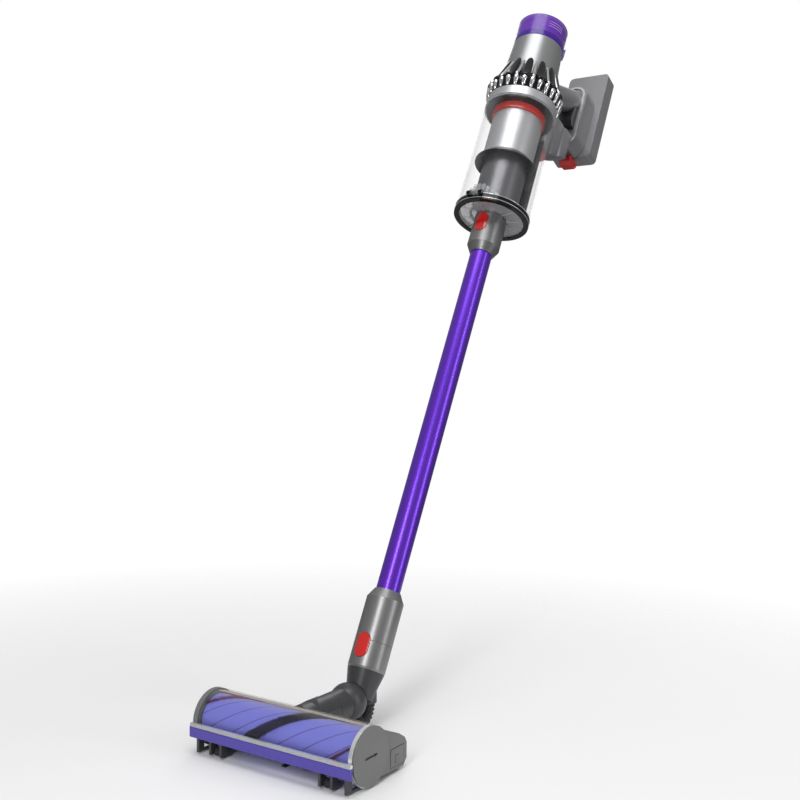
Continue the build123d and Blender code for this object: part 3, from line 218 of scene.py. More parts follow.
MATERIALS = {
    "wand_violet": surface("wand_violet", (0.15, 0.035, 0.62), 0.3, metallic=0.75, grain=0.5 * MM,
                           depth=0.008 * MM, streak=ALONG_WAND, coat=0.3, coat_rough=0.15, tone=0.03),
    "gunmetal": surface("gunmetal", (0.27, 0.27, 0.275), 0.36, metallic=0.8, grain=0.25 * MM,
                        depth=0.006 * MM),
    "charcoal": surface("charcoal", (0.055, 0.056, 0.06), 0.38, metallic=0.25, grain=0.3 * MM,
                        depth=0.01 * MM),
    "hose_rubber": surface("hose_rubber", (0.035, 0.036, 0.04), 0.5, grain=0.4 * MM, depth=0.02 * MM),
    "head_grey": surface("head_grey", (0.17, 0.175, 0.17), 0.45, metallic=0.15, grain=0.35 * MM,
                         depth=0.02 * MM),
    "bright_trim": surface("bright_trim", (0.8, 0.81, 0.83), 0.24, metallic=0.7, grain=0.5 * MM,
                           depth=0.004 * MM),
    "red_gloss": surface("red_gloss", (0.62, 0.012, 0.01), 0.16, grain=1.5 * MM, depth=0.01 * MM, coat=0.6,
                         coat_rough=0.04),
    "red_clear": surface("red_clear", (0.62, 0.03, 0.02), 0.2, grain=1.5 * MM, depth=0.01 * MM, coat=0.5,
                         coat_rough=0.05),
    "bumper_violet": surface("bumper_violet", (0.075, 0.05, 0.36), 0.36, grain=0.4 * MM, depth=0.012 * MM),
    "rubber_black": surface("rubber_black", (0.018, 0.018, 0.02), 0.62, grain=0.5 * MM, depth=0.03 * MM),
    "pin_steel": surface("pin_steel", (0.6, 0.6, 0.61), 0.25, metallic=1.0, grain=0.4 * MM,
                         depth=0.005 * MM),
    "silver_metal": surface("silver_metal", (0.56, 0.565, 0.58), 0.4, metallic=0.85, grain=0.4 * MM,
                            depth=0.006 * MM, streak=ALONG_WAND),
    "dark_metallic": surface("dark_metallic", (0.17, 0.17, 0.18), 0.34, metallic=0.8, grain=0.3 * MM,
                             depth=0.006 * MM, streak=ALONG_WAND),
    "cyclone_gloss": surface("cyclone_gloss", (0.72, 0.72, 0.74), 0.09, metallic=1.0, grain=2.0 * MM,
                             depth=0.006 * MM, rough_spread=0.03),
    "casing_metallic": surface("casing_metallic", (0.36, 0.365, 0.37), 0.36, metallic=0.85, grain=0.2 * MM,
                               depth=0.005 * MM),
    "display_black": surface("display_black", (0.01, 0.01, 0.012), 0.12, grain=2.0 * MM, depth=0.004 * MM,
                             coat=0.8, coat_rough=0.03),
    "motor_alloy": surface("motor_alloy", (0.5, 0.5, 0.5), 0.35, metallic=1.0, grain=0.3 * MM,
                           depth=0.01 * MM),
    "handle_grey": surface("handle_grey", (0.29, 0.285, 0.3), 0.38, metallic=0.45, grain=0.3 * MM,
                           depth=0.012 * MM),
    "cell_metal": surface("cell_metal", (0.4, 0.4, 0.42), 0.3, metallic=1.0, grain=0.5 * MM,
                          depth=0.01 * MM),
    "copper": surface("copper", (0.75, 0.4, 0.2), 0.3, metallic=1.0, grain=0.5 * MM, depth=0.01 * MM),
    "bin_clear": clear_plastic("bin_clear", (0.8, 0.81, 0.83), 0.015, 0.22),
    "window_clear": clear_plastic("window_clear", (0.55, 0.53, 0.5), 0.02, 0.32),
}


def cap_material():
    """Tinted clear plastic of the filter cap."""
    material = surface("filter_violet", (0.16, 0.03, 0.5), 0.3, grain=2.0 * MM, depth=0.004 * MM, coat=0.35,
                       coat_rough=0.2, tone=0.08)
    material.node_tree.nodes["Principled BSDF"].inputs["Alpha"].default_value = 0.72
    return material


def pleat_material():
    """Pleated filter paper, tinted by its cap."""
    material, tree, shader = new_material("filter_pleat")
    shader.inputs["Sheen Weight"].default_value = 0.3
    fibre = noise_at(tree, object_place(tree), 0.4 * MM, detail=6.0)
    tree.links.new(two_tone(tree, fibre, (0.16, 0.05, 0.4), (0.3, 0.14, 0.62)), shader.inputs["Base Color"])
    tree.links.new(spread(tree, fibre, 0.7, 0.9), shader.inputs["Roughness"])
    add_bump(tree, shader, fibre, 0.5, 0.05 * MM)
    return material


def pile_material():
    """Soft periwinkle pile, with painted shade darkening its helical seams."""
    material, tree, shader = new_material("roller_blue")
    shader.inputs["Sheen Weight"].default_value = 0.5
    shader.inputs["Sheen Roughness"].default_value = 0.4
    fibre = noise_at(tree, object_place(tree, scale=(1.0, 2.5, 2.5)), 0.5 * MM, detail=5.0)
    pile = two_tone(tree, fibre, (0.11, 0.115, 0.5), (0.2, 0.21, 0.72))
    seam_shade = add_node(tree, "ShaderNodeAttribute", attribute_name="seam_shade")
    pile_socket, seam_shade_socket, seam_shaded = colour_mix(tree, seam_shade.outputs["Fac"])
    tree.links.new(pile, pile_socket)
    # painted shade: the seams take a near-black blue, shade painted into the pile's grooves
    seam_shade_socket.default_value = (0.02, 0.02, 0.16, 1.0)
    tree.links.new(seam_shaded, shader.inputs["Base Color"])
    tree.links.new(spread(tree, fibre, 0.55, 0.8), shader.inputs["Roughness"])
    add_bump(tree, shader, fibre, 0.7, 0.12 * MM)
    return material


def fibre_material(name, dark, light, rough):
    """Bristle filaments, each a little different."""
    material, tree, shader = new_material(name)
    fibre = noise_at(tree, object_place(tree), 0.8 * MM, detail=4.0)
    tree.links.new(two_tone(tree, fibre, dark, light), shader.inputs["Base Color"])
    tree.links.new(spread(tree, fibre, rough - 0.1, rough + 0.1), shader.inputs["Roughness"])
    return material


MATERIALS["filter_violet"] = cap_material()
MATERIALS["filter_pleat"] = pleat_material()
MATERIALS["roller_blue"] = pile_material()
MATERIALS["bristle_black"] = fibre_material("bristle_black", (0.008, 0.008, 0.009), (0.05, 0.05, 0.05), 0.45)
MATERIALS["bristle_cream"] = fibre_material("bristle_magenta", (0.28, 0.01, 0.07), (0.5, 0.04, 0.14), 0.4)
# the comb's own cream, also used for the painted highlight along the window's clear edge
COMB_CREAM_AND_EDGE_HIGHLIGHT = fibre_material("comb_cream_and_edge_highlight", (0.66, 0.57, 0.46), (0.84, 0.77, 0.66), 0.35)
PETAL_BLACK = surface("petal_black", (0.006, 0.006, 0.007), 0.1, grain=2.0 * MM, depth=0.004 * MM,
                      Specular_IOR_Level=0.32)
# painted highlight: light lilac for the light caught along the cap's fine grooves
GROOVE_HIGHLIGHT = surface("groove_highlight", (0.6, 0.45, 0.9), 0.25, grain=1.0 * MM, depth=0.004 * MM)
CLEAR_RIB = clear_plastic("clear_rib", (0.6, 0.62, 0.66), 0.35, 0.95, rough=0.05)
LID_CLEAR = clear_plastic("lid_clear", (0.5, 0.5, 0.52), 0.5, 0.85, rough=0.08)
# painted shade: a dark strip standing in for the shaded gap round each side panel
PANEL_GAP_SHADE = surface("panel_gap_shade", (0.03, 0.03, 0.032), 0.5, grain=0.4 * MM, depth=0.01 * MM)
SCREEN_GLASS = surface("screen_glass", (0.01, 0.02, 0.03), 0.06, grain=3.0 * MM, depth=0.002 * MM, coat=1.0,
                       coat_rough=0.02)


# Nodes that the machine finishes apart from the rest of their slot.
OWN_FINISH = {
    "bin_base_ring": PETAL_BLACK,
    "shroud_skirt": PETAL_BLACK,
    "bin_rail": PETAL_BLACK,
    "bin_lid": LID_CLEAR,
    "bin_seal": PETAL_BLACK,
}


def dress_cad():
    """Each CAD node takes the finish of its record slot."""
    slots = {row["node"]: row["material_slot"] for row in frame["record"]["subparts"]}
    for node, obj in NODES.items():
        obj.data.materials.clear()
        obj.data.materials.append(OWN_FINISH.get(node, MATERIALS[slots[node]]))
        for polygon in obj.data.polygons:
            polygon.material_index = 0


# ---- mesh helpers ----
def add_piece(name, points, faces, material, body, slot=None, place=None, sharp=40.0):
    """A mesh piece that rides on a body."""
    if place is not None:
        points = [place @ Vector(p) for p in points]
    mesh = bpy.data.meshes.new(name)
    mesh.from_pydata([tuple(p) for p in points], [], faces)
    mesh.validate()
    mesh.polygons.foreach_set("use_smooth", [True] * len(mesh.polygons))
    if sharp:
        mesh.set_sharp_from_angle(angle=math.radians(sharp))
    mesh.materials.append(material)
    obj = bpy.data.objects.new(name, mesh)
    bpy.context.scene.collection.objects.link(obj)
    if body:
        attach(obj, body)
    return obj


def strip_faces(rows, columns, close_rows=False, first=0):
    """Quads of a grid of rows by columns, each row closed on itself."""
    faces = []
    for i in range(rows if close_rows else rows - 1):
        for j in range(columns):
            a = first + i * columns + j
            b = first + i * columns + (j + 1) % columns
            c = first + ((i + 1) % rows) * columns + (j + 1) % columns
            d = first + ((i + 1) % rows) * columns + j
            faces.append((a, b, c, d))
    return faces


def turned(profile, segments=96):
    """Points and faces of a (radius, s) profile turned about the wand's axis."""
    points = []
    for radius, s in profile:
        for k in range(segments):
            turn = 2 * math.pi * k / segments
            points.append((radius * math.cos(turn), radius * math.sin(turn), s))
    faces = strip_faces(len(profile), segments, close_rows=True)
    return points, [tuple(reversed(face)) for face in faces]


def rounded_profile(r0, r1, s0, s1, corner, steps=4):
    """A rectangle in (radius, s) with rounded corners, for a ring."""
    profile = []
    for cr, cs, start in (
        (r1 - corner, s0 + corner, -90),
        (r1 - corner, s1 - corner, 0),
        (r0 + corner, s1 - corner, 90),
        (r0 + corner, s0 + corner, 180),
    ):
        for k in range(steps + 1):
            turn = math.radians(start + 90.0 * k / steps)
            profile.append((cr + corner * math.cos(turn), cs + corner * math.sin(turn)))
    return profile


def ring_piece(name, r0, r1, s0, s1, corner, material, body, slot):
    """A rounded ring about the wand's axis, from radius r0 to r1 and from s0 up to s1."""
    points, faces = turned(rounded_profile(r0, r1, s0, s1, corner))
    return add_piece(name, points, faces, material, body, slot, place=WAND)


def join_parts(parts):
    """Many (points, faces) lists as one."""
    points, faces = [], []
    for some_points, some_faces in parts:
        first = len(points)
        points.extend(some_points)
        faces.extend(tuple(first + v for v in face) for face in some_faces)
    return points, faces


def capped_loft(rings):
    """Rings of equal length joined into a closed skin."""
    count = len(rings[0])
    points = [p for ring in rings for p in ring]
    faces = strip_faces(len(rings), count)
    faces.append(tuple(reversed(range(count))))
    faces.append(tuple((len(rings) - 1) * count + k for k in range(count)))
    return points, faces


def rounded_box(low, high, corner):
    """A box with rounded upright edges and chamfered ends, as (points, faces)."""
    rings = []
    for z, inset in ((low[2], corner * 0.5), (low[2] + corner * 0.5, 0.0), (high[2] - corner * 0.5, 0.0),
                     (high[2], corner * 0.5)):
        ring = []
        for cx, cy, start in (
            (high[0] - corner, high[1] - corner, 0),
            (low[0] + corner, high[1] - corner, 90),
            (low[0] + corner, low[1] + corner, 180),
            (high[0] - corner, low[1] + corner, 270),
        ):
            for k in range(5):
                turn = math.radians(start + 22.5 * k)
                reach = corner - inset
                ring.append((cx + reach * math.cos(turn), cy + reach * math.sin(turn), z))
        rings.append(ring)
    return capped_loft(rings)


# ---- cyclone unit ----
PETALS = 14
PETAL_STEPS = 22
PETAL_SIDES = 20
PETAL_BELLY = 0.18  # share of its height where a petal stands out furthest
PETAL_LIFT = 13 * MM
PETAL_TOP = -52 * MM
RIDGE_DROP = 5 * MM
CONES = 28
CONE_SIDES = 14
CONE_CLEAR = math.radians(20.0)
HANDLE_SIDE = math.radians(90.0)
HANDLE_CLEAR = math.radians(28.0)


def cyclone_core():
    """Black body that the petals and cones stand on."""
    low, high = wand_box("cyclone_pack")
    radius = high.x
    profile = [
        (radius - 29 * MM, low.z),
        (radius - 9 * MM, low.z),
        (radius - 8 * MM, low.z + 6 * MM),
        (radius - 4.5 * MM, low.z + 15 * MM),
        (radius - 7 * MM, low.z + 20 * MM),
        (radius - 13 * MM, high.z - 8 * MM),
        (radius - 18 * MM, high.z),
        (radius - 29 * MM, high.z),
    ]
    points, faces = turned(profile, 112)
    core = add_piece("cyclone_core", points, faces, PETAL_BLACK, "main_unit", "cyclone_gloss", place=WAND)
    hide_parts("cyclone_pack")


def petal(turn, low, high, radius, half_width, proud):
    """One chamber: broad and round-topped, standing out low down and drawn in to the casing."""
    rings = []
    for k in range(PETAL_STEPS + 1):
        share = k / PETAL_STEPS
        s = low + (high - low) * share
        if share < PETAL_BELLY:
            middle = radius - 7 * MM + 1.5 * MM * math.sin(share / PETAL_BELLY * math.pi / 2)
        else:
            climb = (share - PETAL_BELLY) / (1 - PETAL_BELLY)
            middle = radius - 5.5 * MM - 15.3 * MM * climb ** 0.72
        round_top = math.sqrt(max(0.0, 1 - share ** 7))
        width = half_width * min(1.0, 0.6 + share * 2.0) * (1 - 0.22 * share) * round_top + 0.2 * MM
        lift = proud * min(1.0, 0.55 + share * 3.0) * (1 - 0.55 * share) * round_top + 0.2 * MM
        ring = []
        for j in range(PETAL_SIDES):
            around = 2 * math.pi * j / PETAL_SIDES
            side = width * math.copysign(abs(math.cos(around)) ** 0.75, math.cos(around))
            out = middle + lift * math.sin(around)
            ring.append((
                out * math.cos(turn) - side * math.sin(turn),
                out * math.sin(turn) + side * math.cos(turn),
                s,
            ))
        rings.append(ring)
    return capped_loft(rings)


def cone(turn, radius, low, high):
    """One small cone under the petals, rounded at both ends."""
    rings = []
    outline = ((0.0, 1.6), (0.08, 2.7), (0.3, 3.3), (0.6, 4.3), (0.82, 4.9), (0.94, 4.2), (1.0, 2.4))
    for share, width in outline:
        ring = []
        for j in range(CONE_SIDES):
            around = 2 * math.pi * j / CONE_SIDES
            out = radius + width * MM * math.sin(around) - 1.4 * MM * (1 - share)
            side = width * MM * math.cos(around)
            ring.append((
                out * math.cos(turn) - side * math.sin(turn),
                out * math.sin(turn) + side * math.cos(turn),
                low + (high - low) * share,
            ))
        rings.append(ring)
    return capped_loft(rings)


def open_turns(count, start, clear):
    """Turns of a round pattern, without those that would meet the handle's strut."""
    turns = [2 * math.pi * (k + start) / count for k in range(count)]
    return [t for t in turns if abs((t - HANDLE_SIDE + math.pi) % (2 * math.pi) - math.pi) >= clear]


def build_cyclone():
    """Black petals with bright ridges between them, over a ring of small bright cones."""
    cyclone_core()
    low, high = wand_box("cyclone_pack")
    radius = high.x
    foot = low.z + PETAL_LIFT
    gloss = MATERIALS["cyclone_gloss"]
    petals = [
        petal(turn, foot, PETAL_TOP, radius, 7.6 * MM, 4.0 * MM)
        for turn in open_turns(PETALS, 0.5, HANDLE_CLEAR)
    ]
    add_piece("cyclone_petals", *join_parts(petals), PETAL_BLACK, "main_unit", "cyclone_gloss", place=WAND)
    ridges = [
        petal(turn, foot, PETAL_TOP - RIDGE_DROP, radius, 3.4 * MM, 4.4 * MM)
        for turn in open_turns(PETALS, 0, HANDLE_CLEAR)
    ]
    add_piece("cyclone_ridges", *join_parts(ridges), gloss, "main_unit", "cyclone_gloss", place=WAND)
    cones = [
        cone(turn, radius - 6.6 * MM, low.z + 0.6 * MM, low.z + 19 * MM)
        for turn in open_turns(CONES, 0, CONE_CLEAR)
    ]
    add_piece("cyclone_cones", *join_parts(cones), gloss, "main_unit", "cyclone_gloss", place=WAND)


# ---- filter ----
PLEATS = 72
PLEAT_DEPTHS = (0.0, 1.1 * MM, 2.2 * MM, 1.1 * MM)
MEDIA_WALL = 5 * MM
CAP_GAP = 2.8 * MM  # from the paper to the cap's outside
GROOVES = 3
GROOVE_PITCH = 4.6 * MM


def build_filter():
    """Pleated paper inside the tinted cap, the cap's dark band and rim, and its fine grooves as thin light lilac
    ribs, a painted highlight.
    """
    low, high = wand_box("filter_media")
    outer = high.x
    points = []
    columns = PLEATS * len(PLEAT_DEPTHS)
    for radius_in, s in ((0.0, low.z), (0.0, high.z), (MEDIA_WALL, high.z), (MEDIA_WALL, low.z)):
        for k in range(columns):
            turn = 2 * math.pi * k / columns
            fold = PLEAT_DEPTHS[k % len(PLEAT_DEPTHS)]
            radius = outer - radius_in - fold
            points.append((radius * math.cos(turn), radius * math.sin(turn), s))
    faces = [tuple(reversed(face)) for face in strip_faces(4, columns, close_rows=True)]
    media = add_piece("filter_pleats", points, faces, MATERIALS["filter_pleat"], "filter_unit",
                      "filter_pleat", place=WAND, sharp=20.0)
    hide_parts("filter_media")
    cap_low, cap_high = wand_box("filter_cap")
    radius = outer + CAP_GAP
    corner = 0.12 * MM
    band = surface("cap_band", (0.05, 0.006, 0.27), 0.2, grain=1.0 * MM, depth=0.004 * MM)
    ring_piece("filter_band", radius - 1.0 * MM, radius + 0.15 * MM, cap_low.z + 0.2 * MM,
               cap_low.z + 10.5 * MM, corner, band, "filter_unit", "filter_violet")
    ring_piece("filter_rim", radius - 1.2 * MM, radius + 0.12 * MM, cap_high.z - 4.6 * MM,
               cap_high.z - 3.6 * MM, corner, band, "filter_unit", "filter_violet")
    # the grooves are drawn only across the front right, in a lighter lilac: a painted highlight
    lines = []
    for row in range(GROOVES):
        s = cap_high.z - 15 * MM - GROOVE_PITCH * row
        lines.append(arc_rib(radius + 0.12 * MM, s, 0.5 * MM, math.radians(-47.0), math.radians(-10.0)))
    add_piece("filter_groove_highlights", *join_parts(lines), GROOVE_HIGHLIGHT, "filter_unit", "filter_violet", place=WAND)


def arc_rib(radius, s, half, start, end, steps=28):
    """A thin rib along an arc round the wand's axis."""
    rings = []
    for k in range(steps + 1):
        turn = start + (end - start) * k / steps
        ring = []
        for j in range(8):
            around = 2 * math.pi * j / 8
            out = radius + half * math.cos(around)
            ring.append((out * math.cos(turn), out * math.sin(turn), s + half * math.sin(around)))
        rings.append(ring)
    return capped_loft(rings)


SCREEN_H = -6 * MM
SCREEN_RADIUS = 14.4 * MM
SCREEN_SEGMENTS = 64


def build_display():
    """Glass disc and bright bezel on the display's face."""
    top = wand_box("display_module")[1].z
    bezel = rounded_profile(14.5 * MM, 16.0 * MM, top - 0.2 * MM, top + 0.25 * MM, 0.2 * MM)
    points, faces = turned(bezel, SCREEN_SEGMENTS)
    points = [(x, h + SCREEN_H, s) for x, h, s in points]
    add_piece("display_bezel", points, faces, MATERIALS["bright_trim"], "main_unit", "display_black",
              place=WAND)
    disc = []
    for k in range(SCREEN_SEGMENTS):
        turn = 2 * math.pi * k / SCREEN_SEGMENTS
        disc.append((SCREEN_RADIUS * math.cos(turn), SCREEN_RADIUS * math.sin(turn) + SCREEN_H))
    rings = [[(x, y, top - 0.2 * MM) for x, y in disc], [(x, y, top + 0.1 * MM) for x, y in disc]]
    add_piece("display_glass", *capped_loft(rings), SCREEN_GLASS, "main_unit", "display_black", place=WAND)


# ---- shroud, bin and lid ----
LID_RIBS = 10
HINGE_ROWS = 5
HINGE_ROW_PITCH = 4.6 * MM
HINGE_TOOTH_STEP = 8.0  # degrees


def build_bin_details():
    """Bright lines round the base rim, the lid's ribs, the bin's top lip and the clear hinge cluster."""
    ring_low, ring_high = wand_box("bin_base_ring")
    radius = ring_high.x
    for n, s in enumerate((ring_low.z + 3.0 * MM, ring_high.z - 3.5 * MM)):
        ring_piece(f"base_line_{n}", radius - 0.6 * MM, radius + 0.25 * MM, s, s + 0.9 * MM, 0.2 * MM,
                   MATERIALS["bright_trim"], "lid_unit", "silver_metal")
    lid_foot = wand_box("bin_lid")[0].z
    ribs = []
    for k in range(LID_RIBS):
        turn = 2 * math.pi * (k + 0.5) / LID_RIBS
        ribs.append(radial_rib(turn, 22 * MM, 50 * MM, lid_foot - 1.4 * MM, lid_foot + 0.2 * MM, 0.6 * MM))
    add_piece("lid_ribs", *join_parts(ribs), CLEAR_RIB, "lid_unit", "bin_clear", place=WAND)
    bin_low, bin_high = wand_box("bin_cylinder")
    ring_piece("bin_lip", radius - 2.2 * MM, radius - 1.2 * MM, bin_high.z - 2.5 * MM, bin_high.z - 0.5 * MM,
               0.3 * MM, CLEAR_RIB, "bin_unit", "bin_clear")
    hinge_cluster(bin_low.z)


def radial_rib(turn, inner, outer, s0, s1, half):
    """A thin rib from the wand's axis outwards."""
    out = Vector((math.cos(turn), math.sin(turn), 0.0))
    side = Vector((-math.sin(turn), math.cos(turn), 0.0)) * half
    low_ring = [out * inner - side, out * inner + side, out * outer + side, out * outer - side]
    rings = [[tuple(p + Vector((0, 0, s))) for p in low_ring] for s in (s0, s1)]
    return capped_loft(rings)


def hinge_cluster(base):
    """Clear moulded teeth and ribs inside the bin over the lid's hinge."""
    rng = random.Random(7)
    parts = []
    inner = 54.6 * MM
    for row in range(HINGE_ROWS):
        count = 11 - row * 2
        for k in range(count):
            turn = math.radians(-90.0 + (k - (count - 1) / 2) * HINGE_TOOTH_STEP)
            low = base + 0.8 * MM + row * HINGE_ROW_PITCH
            high = low + (4.8 + rng.uniform(-0.8, 0.8)) * MM
            reach = inner - (8.0 - row + rng.uniform(-0.7, 0.7)) * MM
            parts.append(wedge(turn, reach, inner + 1.4 * MM, low, high, 3.3 * MM))
    add_piece("hinge_cluster", *join_parts(parts), CLEAR_RIB, "bin_unit", "bin_clear", place=WAND)


def wedge(turn, inner, outer, low, high, half):
    """A small faceted block whose top slopes inwards."""
    out = Vector((math.cos(turn), math.sin(turn), 0.0))
    side = Vector((-math.sin(turn), math.cos(turn), 0.0))
    rings = []
    for s, reach, width in ((low, 0.0, 1.0), (low + (high - low) * 0.5, 0.2, 0.85), (high, 0.6, 0.55)):
        start = inner + (outer - inner) * reach
        rings.append([
            tuple(out * start - side * half * width + Vector((0, 0, s))),
            tuple(out * start + side * half * width + Vector((0, 0, s))),
            tuple(out * outer + side * half * width + Vector((0, 0, s))),
            tuple(out * outer - side * half * width + Vector((0, 0, s))),
        ])
    return capped_loft(rings)


# ---- roller ----
ROLLER_COLUMNS = 300
ROLLER_ROWS = 330
SEAMS = 8
SEAM_PITCH = 0.290
SEAM_START = 23.6 / 360
PILE_STANDS = 1.2 * MM  # pile beyond the drum's skin
SEAM_HALF = 0.55 * MM
SEAM_DEPTH = 0.5 * MM
END_ROUND = 1.5 * MM
BRISTLE_SIDE = Vector((1.0, 0.0, 0.0))


def roller_axis():
    """Centre of the roller's joint."""
    return joint_point("roller_spin")


def on_roller(x, turn, radius):
    """A point round the roller's axis, turn measured from +Y towards +Z."""
    centre = roller_axis()
    return Vector((x, centre.y + radius * math.cos(turn), centre.z + radius * math.sin(turn)))


def build_roller():
    """Roller with its soft pile, and thin seams that run round it as helices; the seams dip a little and carry
    weights for painted shade.
    """
    low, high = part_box("roller_drum")
    radius = (high.z - low.z) / 2 + PILE_STANDS
    points, seam_shades = [], []
    for i in range(ROLLER_ROWS):
        x = low.x + (high.x - low.x) * i / (ROLLER_ROWS - 1)
        edge = min(x - low.x, high.x - x)
        for j in range(ROLLER_COLUMNS):
            turn = 2 * math.pi * j / ROLLER_COLUMNS
            phase = (turn / (2 * math.pi) + (x - low.x) / SEAM_PITCH - SEAM_START) * SEAMS
            away = abs(phase - round(phase)) / SEAMS * 2 * math.pi * radius
            dip = math.exp(-((away / SEAM_HALF) ** 2))
            round_off = PILE_STANDS * max(0.0, 1 - edge / END_ROUND) ** 2
            points.append(on_roller(x, turn, radius - SEAM_DEPTH * dip - round_off))
            seam_shades.append(dip)
    faces = strip_faces(ROLLER_ROWS, ROLLER_COLUMNS)
    first = len(points)
    for i, x in ((0, low.x), (ROLLER_ROWS - 1, high.x)):
        points.append(on_roller(x, 0.0, 0.0))
        seam_shades.append(0.0)
        for j in range(ROLLER_COLUMNS):
            a = i * ROLLER_COLUMNS + j
            b = i * ROLLER_COLUMNS + (j + 1) % ROLLER_COLUMNS
            hub = first + (0 if i == 0 else 1)
            faces.append((a, hub, b) if i == 0 else (b, hub, a))
    faces = [tuple(reversed(face)) for face in faces]
    roller = add_piece("roller_pile", points, faces, MATERIALS["roller_blue"], "roller", "roller_blue")
    # each point's seam weight says how much painted shade the pile takes there
    attribute = roller.data.attributes.new("seam_shade", "FLOAT", "POINT")
    attribute.data.foreach_set("value", seam_shades)
    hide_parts("roller_drum")


def filament(root, tip, side, thick):
    """One tapered three-sided bristle."""
    along = (tip - root).normalized()
    other = along.cross(side).normalized()
    ring = []
    for k in range(3):
        turn = 2 * math.pi * k / 3
        ring.append(side * math.cos(turn) * thick + other * math.sin(turn) * thick)
    points = [root + r for r in ring] + [tip + r * 0.35 for r in ring]
    faces = [(0, 1, 4, 3), (1, 2, 5, 4), (2, 0, 3, 5), (5, 4, 3)]
    return points, faces


def bristle_band(name, node, starts, width, material, slot, across_count, along_count, thick):
    """Rows of filaments along helices, over the ribbon that the CAD node gives."""
    rng = random.Random(11)
    low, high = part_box(node)
    centre = roller_axis()
    reach = max(high.z - centre.z, centre.z - low.z)
    root_radius = (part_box("roller_drum")[1].z - centre.z) - 0.8 * MM
    parts = []
    for start in starts:
        for i in range(along_count):
            share = (i + rng.uniform(-0.3, 0.3)) / (along_count - 1)
            share = min(1.0, max(0.0, share))
            x = low.x + (high.x - low.x) * share
            middle = math.radians(start) - 2 * math.pi * (x - low.x) / SEAM_PITCH
            for j in range(across_count):
                offset = width * ((j + rng.uniform(-0.35, 0.35)) / max(1, across_count - 1) - 0.5)
                turn = middle + offset / reach
                lean = rng.uniform(-0.05, 0.05)
                tip_radius = reach - rng.uniform(0.0, 0.6) * MM
                tip_x = min(high.x, max(low.x, x + rng.uniform(-0.4, 0.4) * MM))
                root = on_roller(x, turn, root_radius)
                tip = on_roller(tip_x, turn + lean, tip_radius)
                parts.append(filament(root, tip, BRISTLE_SIDE, thick))
    band = add_piece(name, *join_parts(parts), material, "roller", slot, sharp=0)
    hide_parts(node)


COMB_TEETH = 50
COMB_MARGIN = 4 * MM
WINDOW_WALL = 1.75 * MM


def build_comb():
    """Comb of fine teeth inside the window that keeps hair off the roller, and a cream strip along the window's
    rear edge, a painted highlight on its clear edge.
    """
    low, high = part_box("roller_window")
    centre = roller_axis()
    outer = (high.z - centre.z) - WINDOW_WALL
    parts = []
    for k in range(COMB_TEETH):
        x = low.x + COMB_MARGIN + (high.x - low.x - 2 * COMB_MARGIN) * k / (COMB_TEETH - 1)
        rings = []
        for degrees, reach in ((42.0, 3.2), (56.0, 3.2), (70.0, 2.6), (84.0, 1.4), (90.0, 0.3)):
            turn = math.radians(degrees)
            rings.append([
                on_roller(x - 0.7 * MM, turn, outer),
                on_roller(x + 0.7 * MM, turn, outer),
                on_roller(x + 0.4 * MM, turn, outer - reach * MM),
                on_roller(x - 0.4 * MM, turn, outer - reach * MM),
            ])
        parts.append(capped_loft(rings))
    add_piece("window_comb", *join_parts(parts), COMB_CREAM_AND_EDGE_HIGHLIGHT, "head_unit", "head_grey")
    # painted highlight: a cream strip along the window's thick clear rear edge
    rings = []
    for x in (low.x + 0.2 * MM, high.x - 0.2 * MM):
        ring = []
        for degrees, lift in ((38.2, 0.15), (42.5, 0.15), (42.5, -1.8), (38.2, -1.8)):
            ring.append(on_roller(x, math.radians(degrees), outer + WINDOW_WALL + lift * MM))
        rings.append(ring)
    add_piece("window_edge_highlight", *capped_loft(rings), COMB_CREAM_AND_EDGE_HIGHLIGHT, "head_unit", "window_clear")


# ---- neck hose ----
HOSE_RIBS = 15
RIB_STEPS = 8
HOSE_SIDES = 40
REAR_BEND = 18 * MM
FRONT_BEND = 13 * MM


def hose_route(low, high, radius):
    """Centre line from the cuff's port, round under the ball and up into it."""
    back = high.y - radius
    front = low.y + radius
    level = low.z + radius
    top_back = high.z
    elbow = joint_point("elbow_pitch")
    route = []
    for k in range(9):
        route.append(Vector((0, back, top_back + (level + REAR_BEND - top_back) * k / 8)))
    for k in range(1, 25):
        turn = math.radians(90.0 * k / 24)
        y = back - REAR_BEND + REAR_BEND * math.cos(turn)
        z = level + REAR_BEND - REAR_BEND * math.sin(turn)
        route.append(Vector((0, y, z)))
    for k in range(1, 9):
        y = back - REAR_BEND + (front + FRONT_BEND - back + REAR_BEND) * k / 8
        route.append(Vector((0, y, level)))
    for k in range(1, 21):
        turn = math.radians(90.0 * k / 20)
        y = front + FRONT_BEND - FRONT_BEND * math.sin(turn)
        z = level + FRONT_BEND - FRONT_BEND * math.cos(turn)
        route.append(Vector((0, y, z)))
    end = elbow.z - 18 * MM
    if end - route[-1].z > 0.5 * MM:
        route.append(Vector((0, front, end)))
    return route


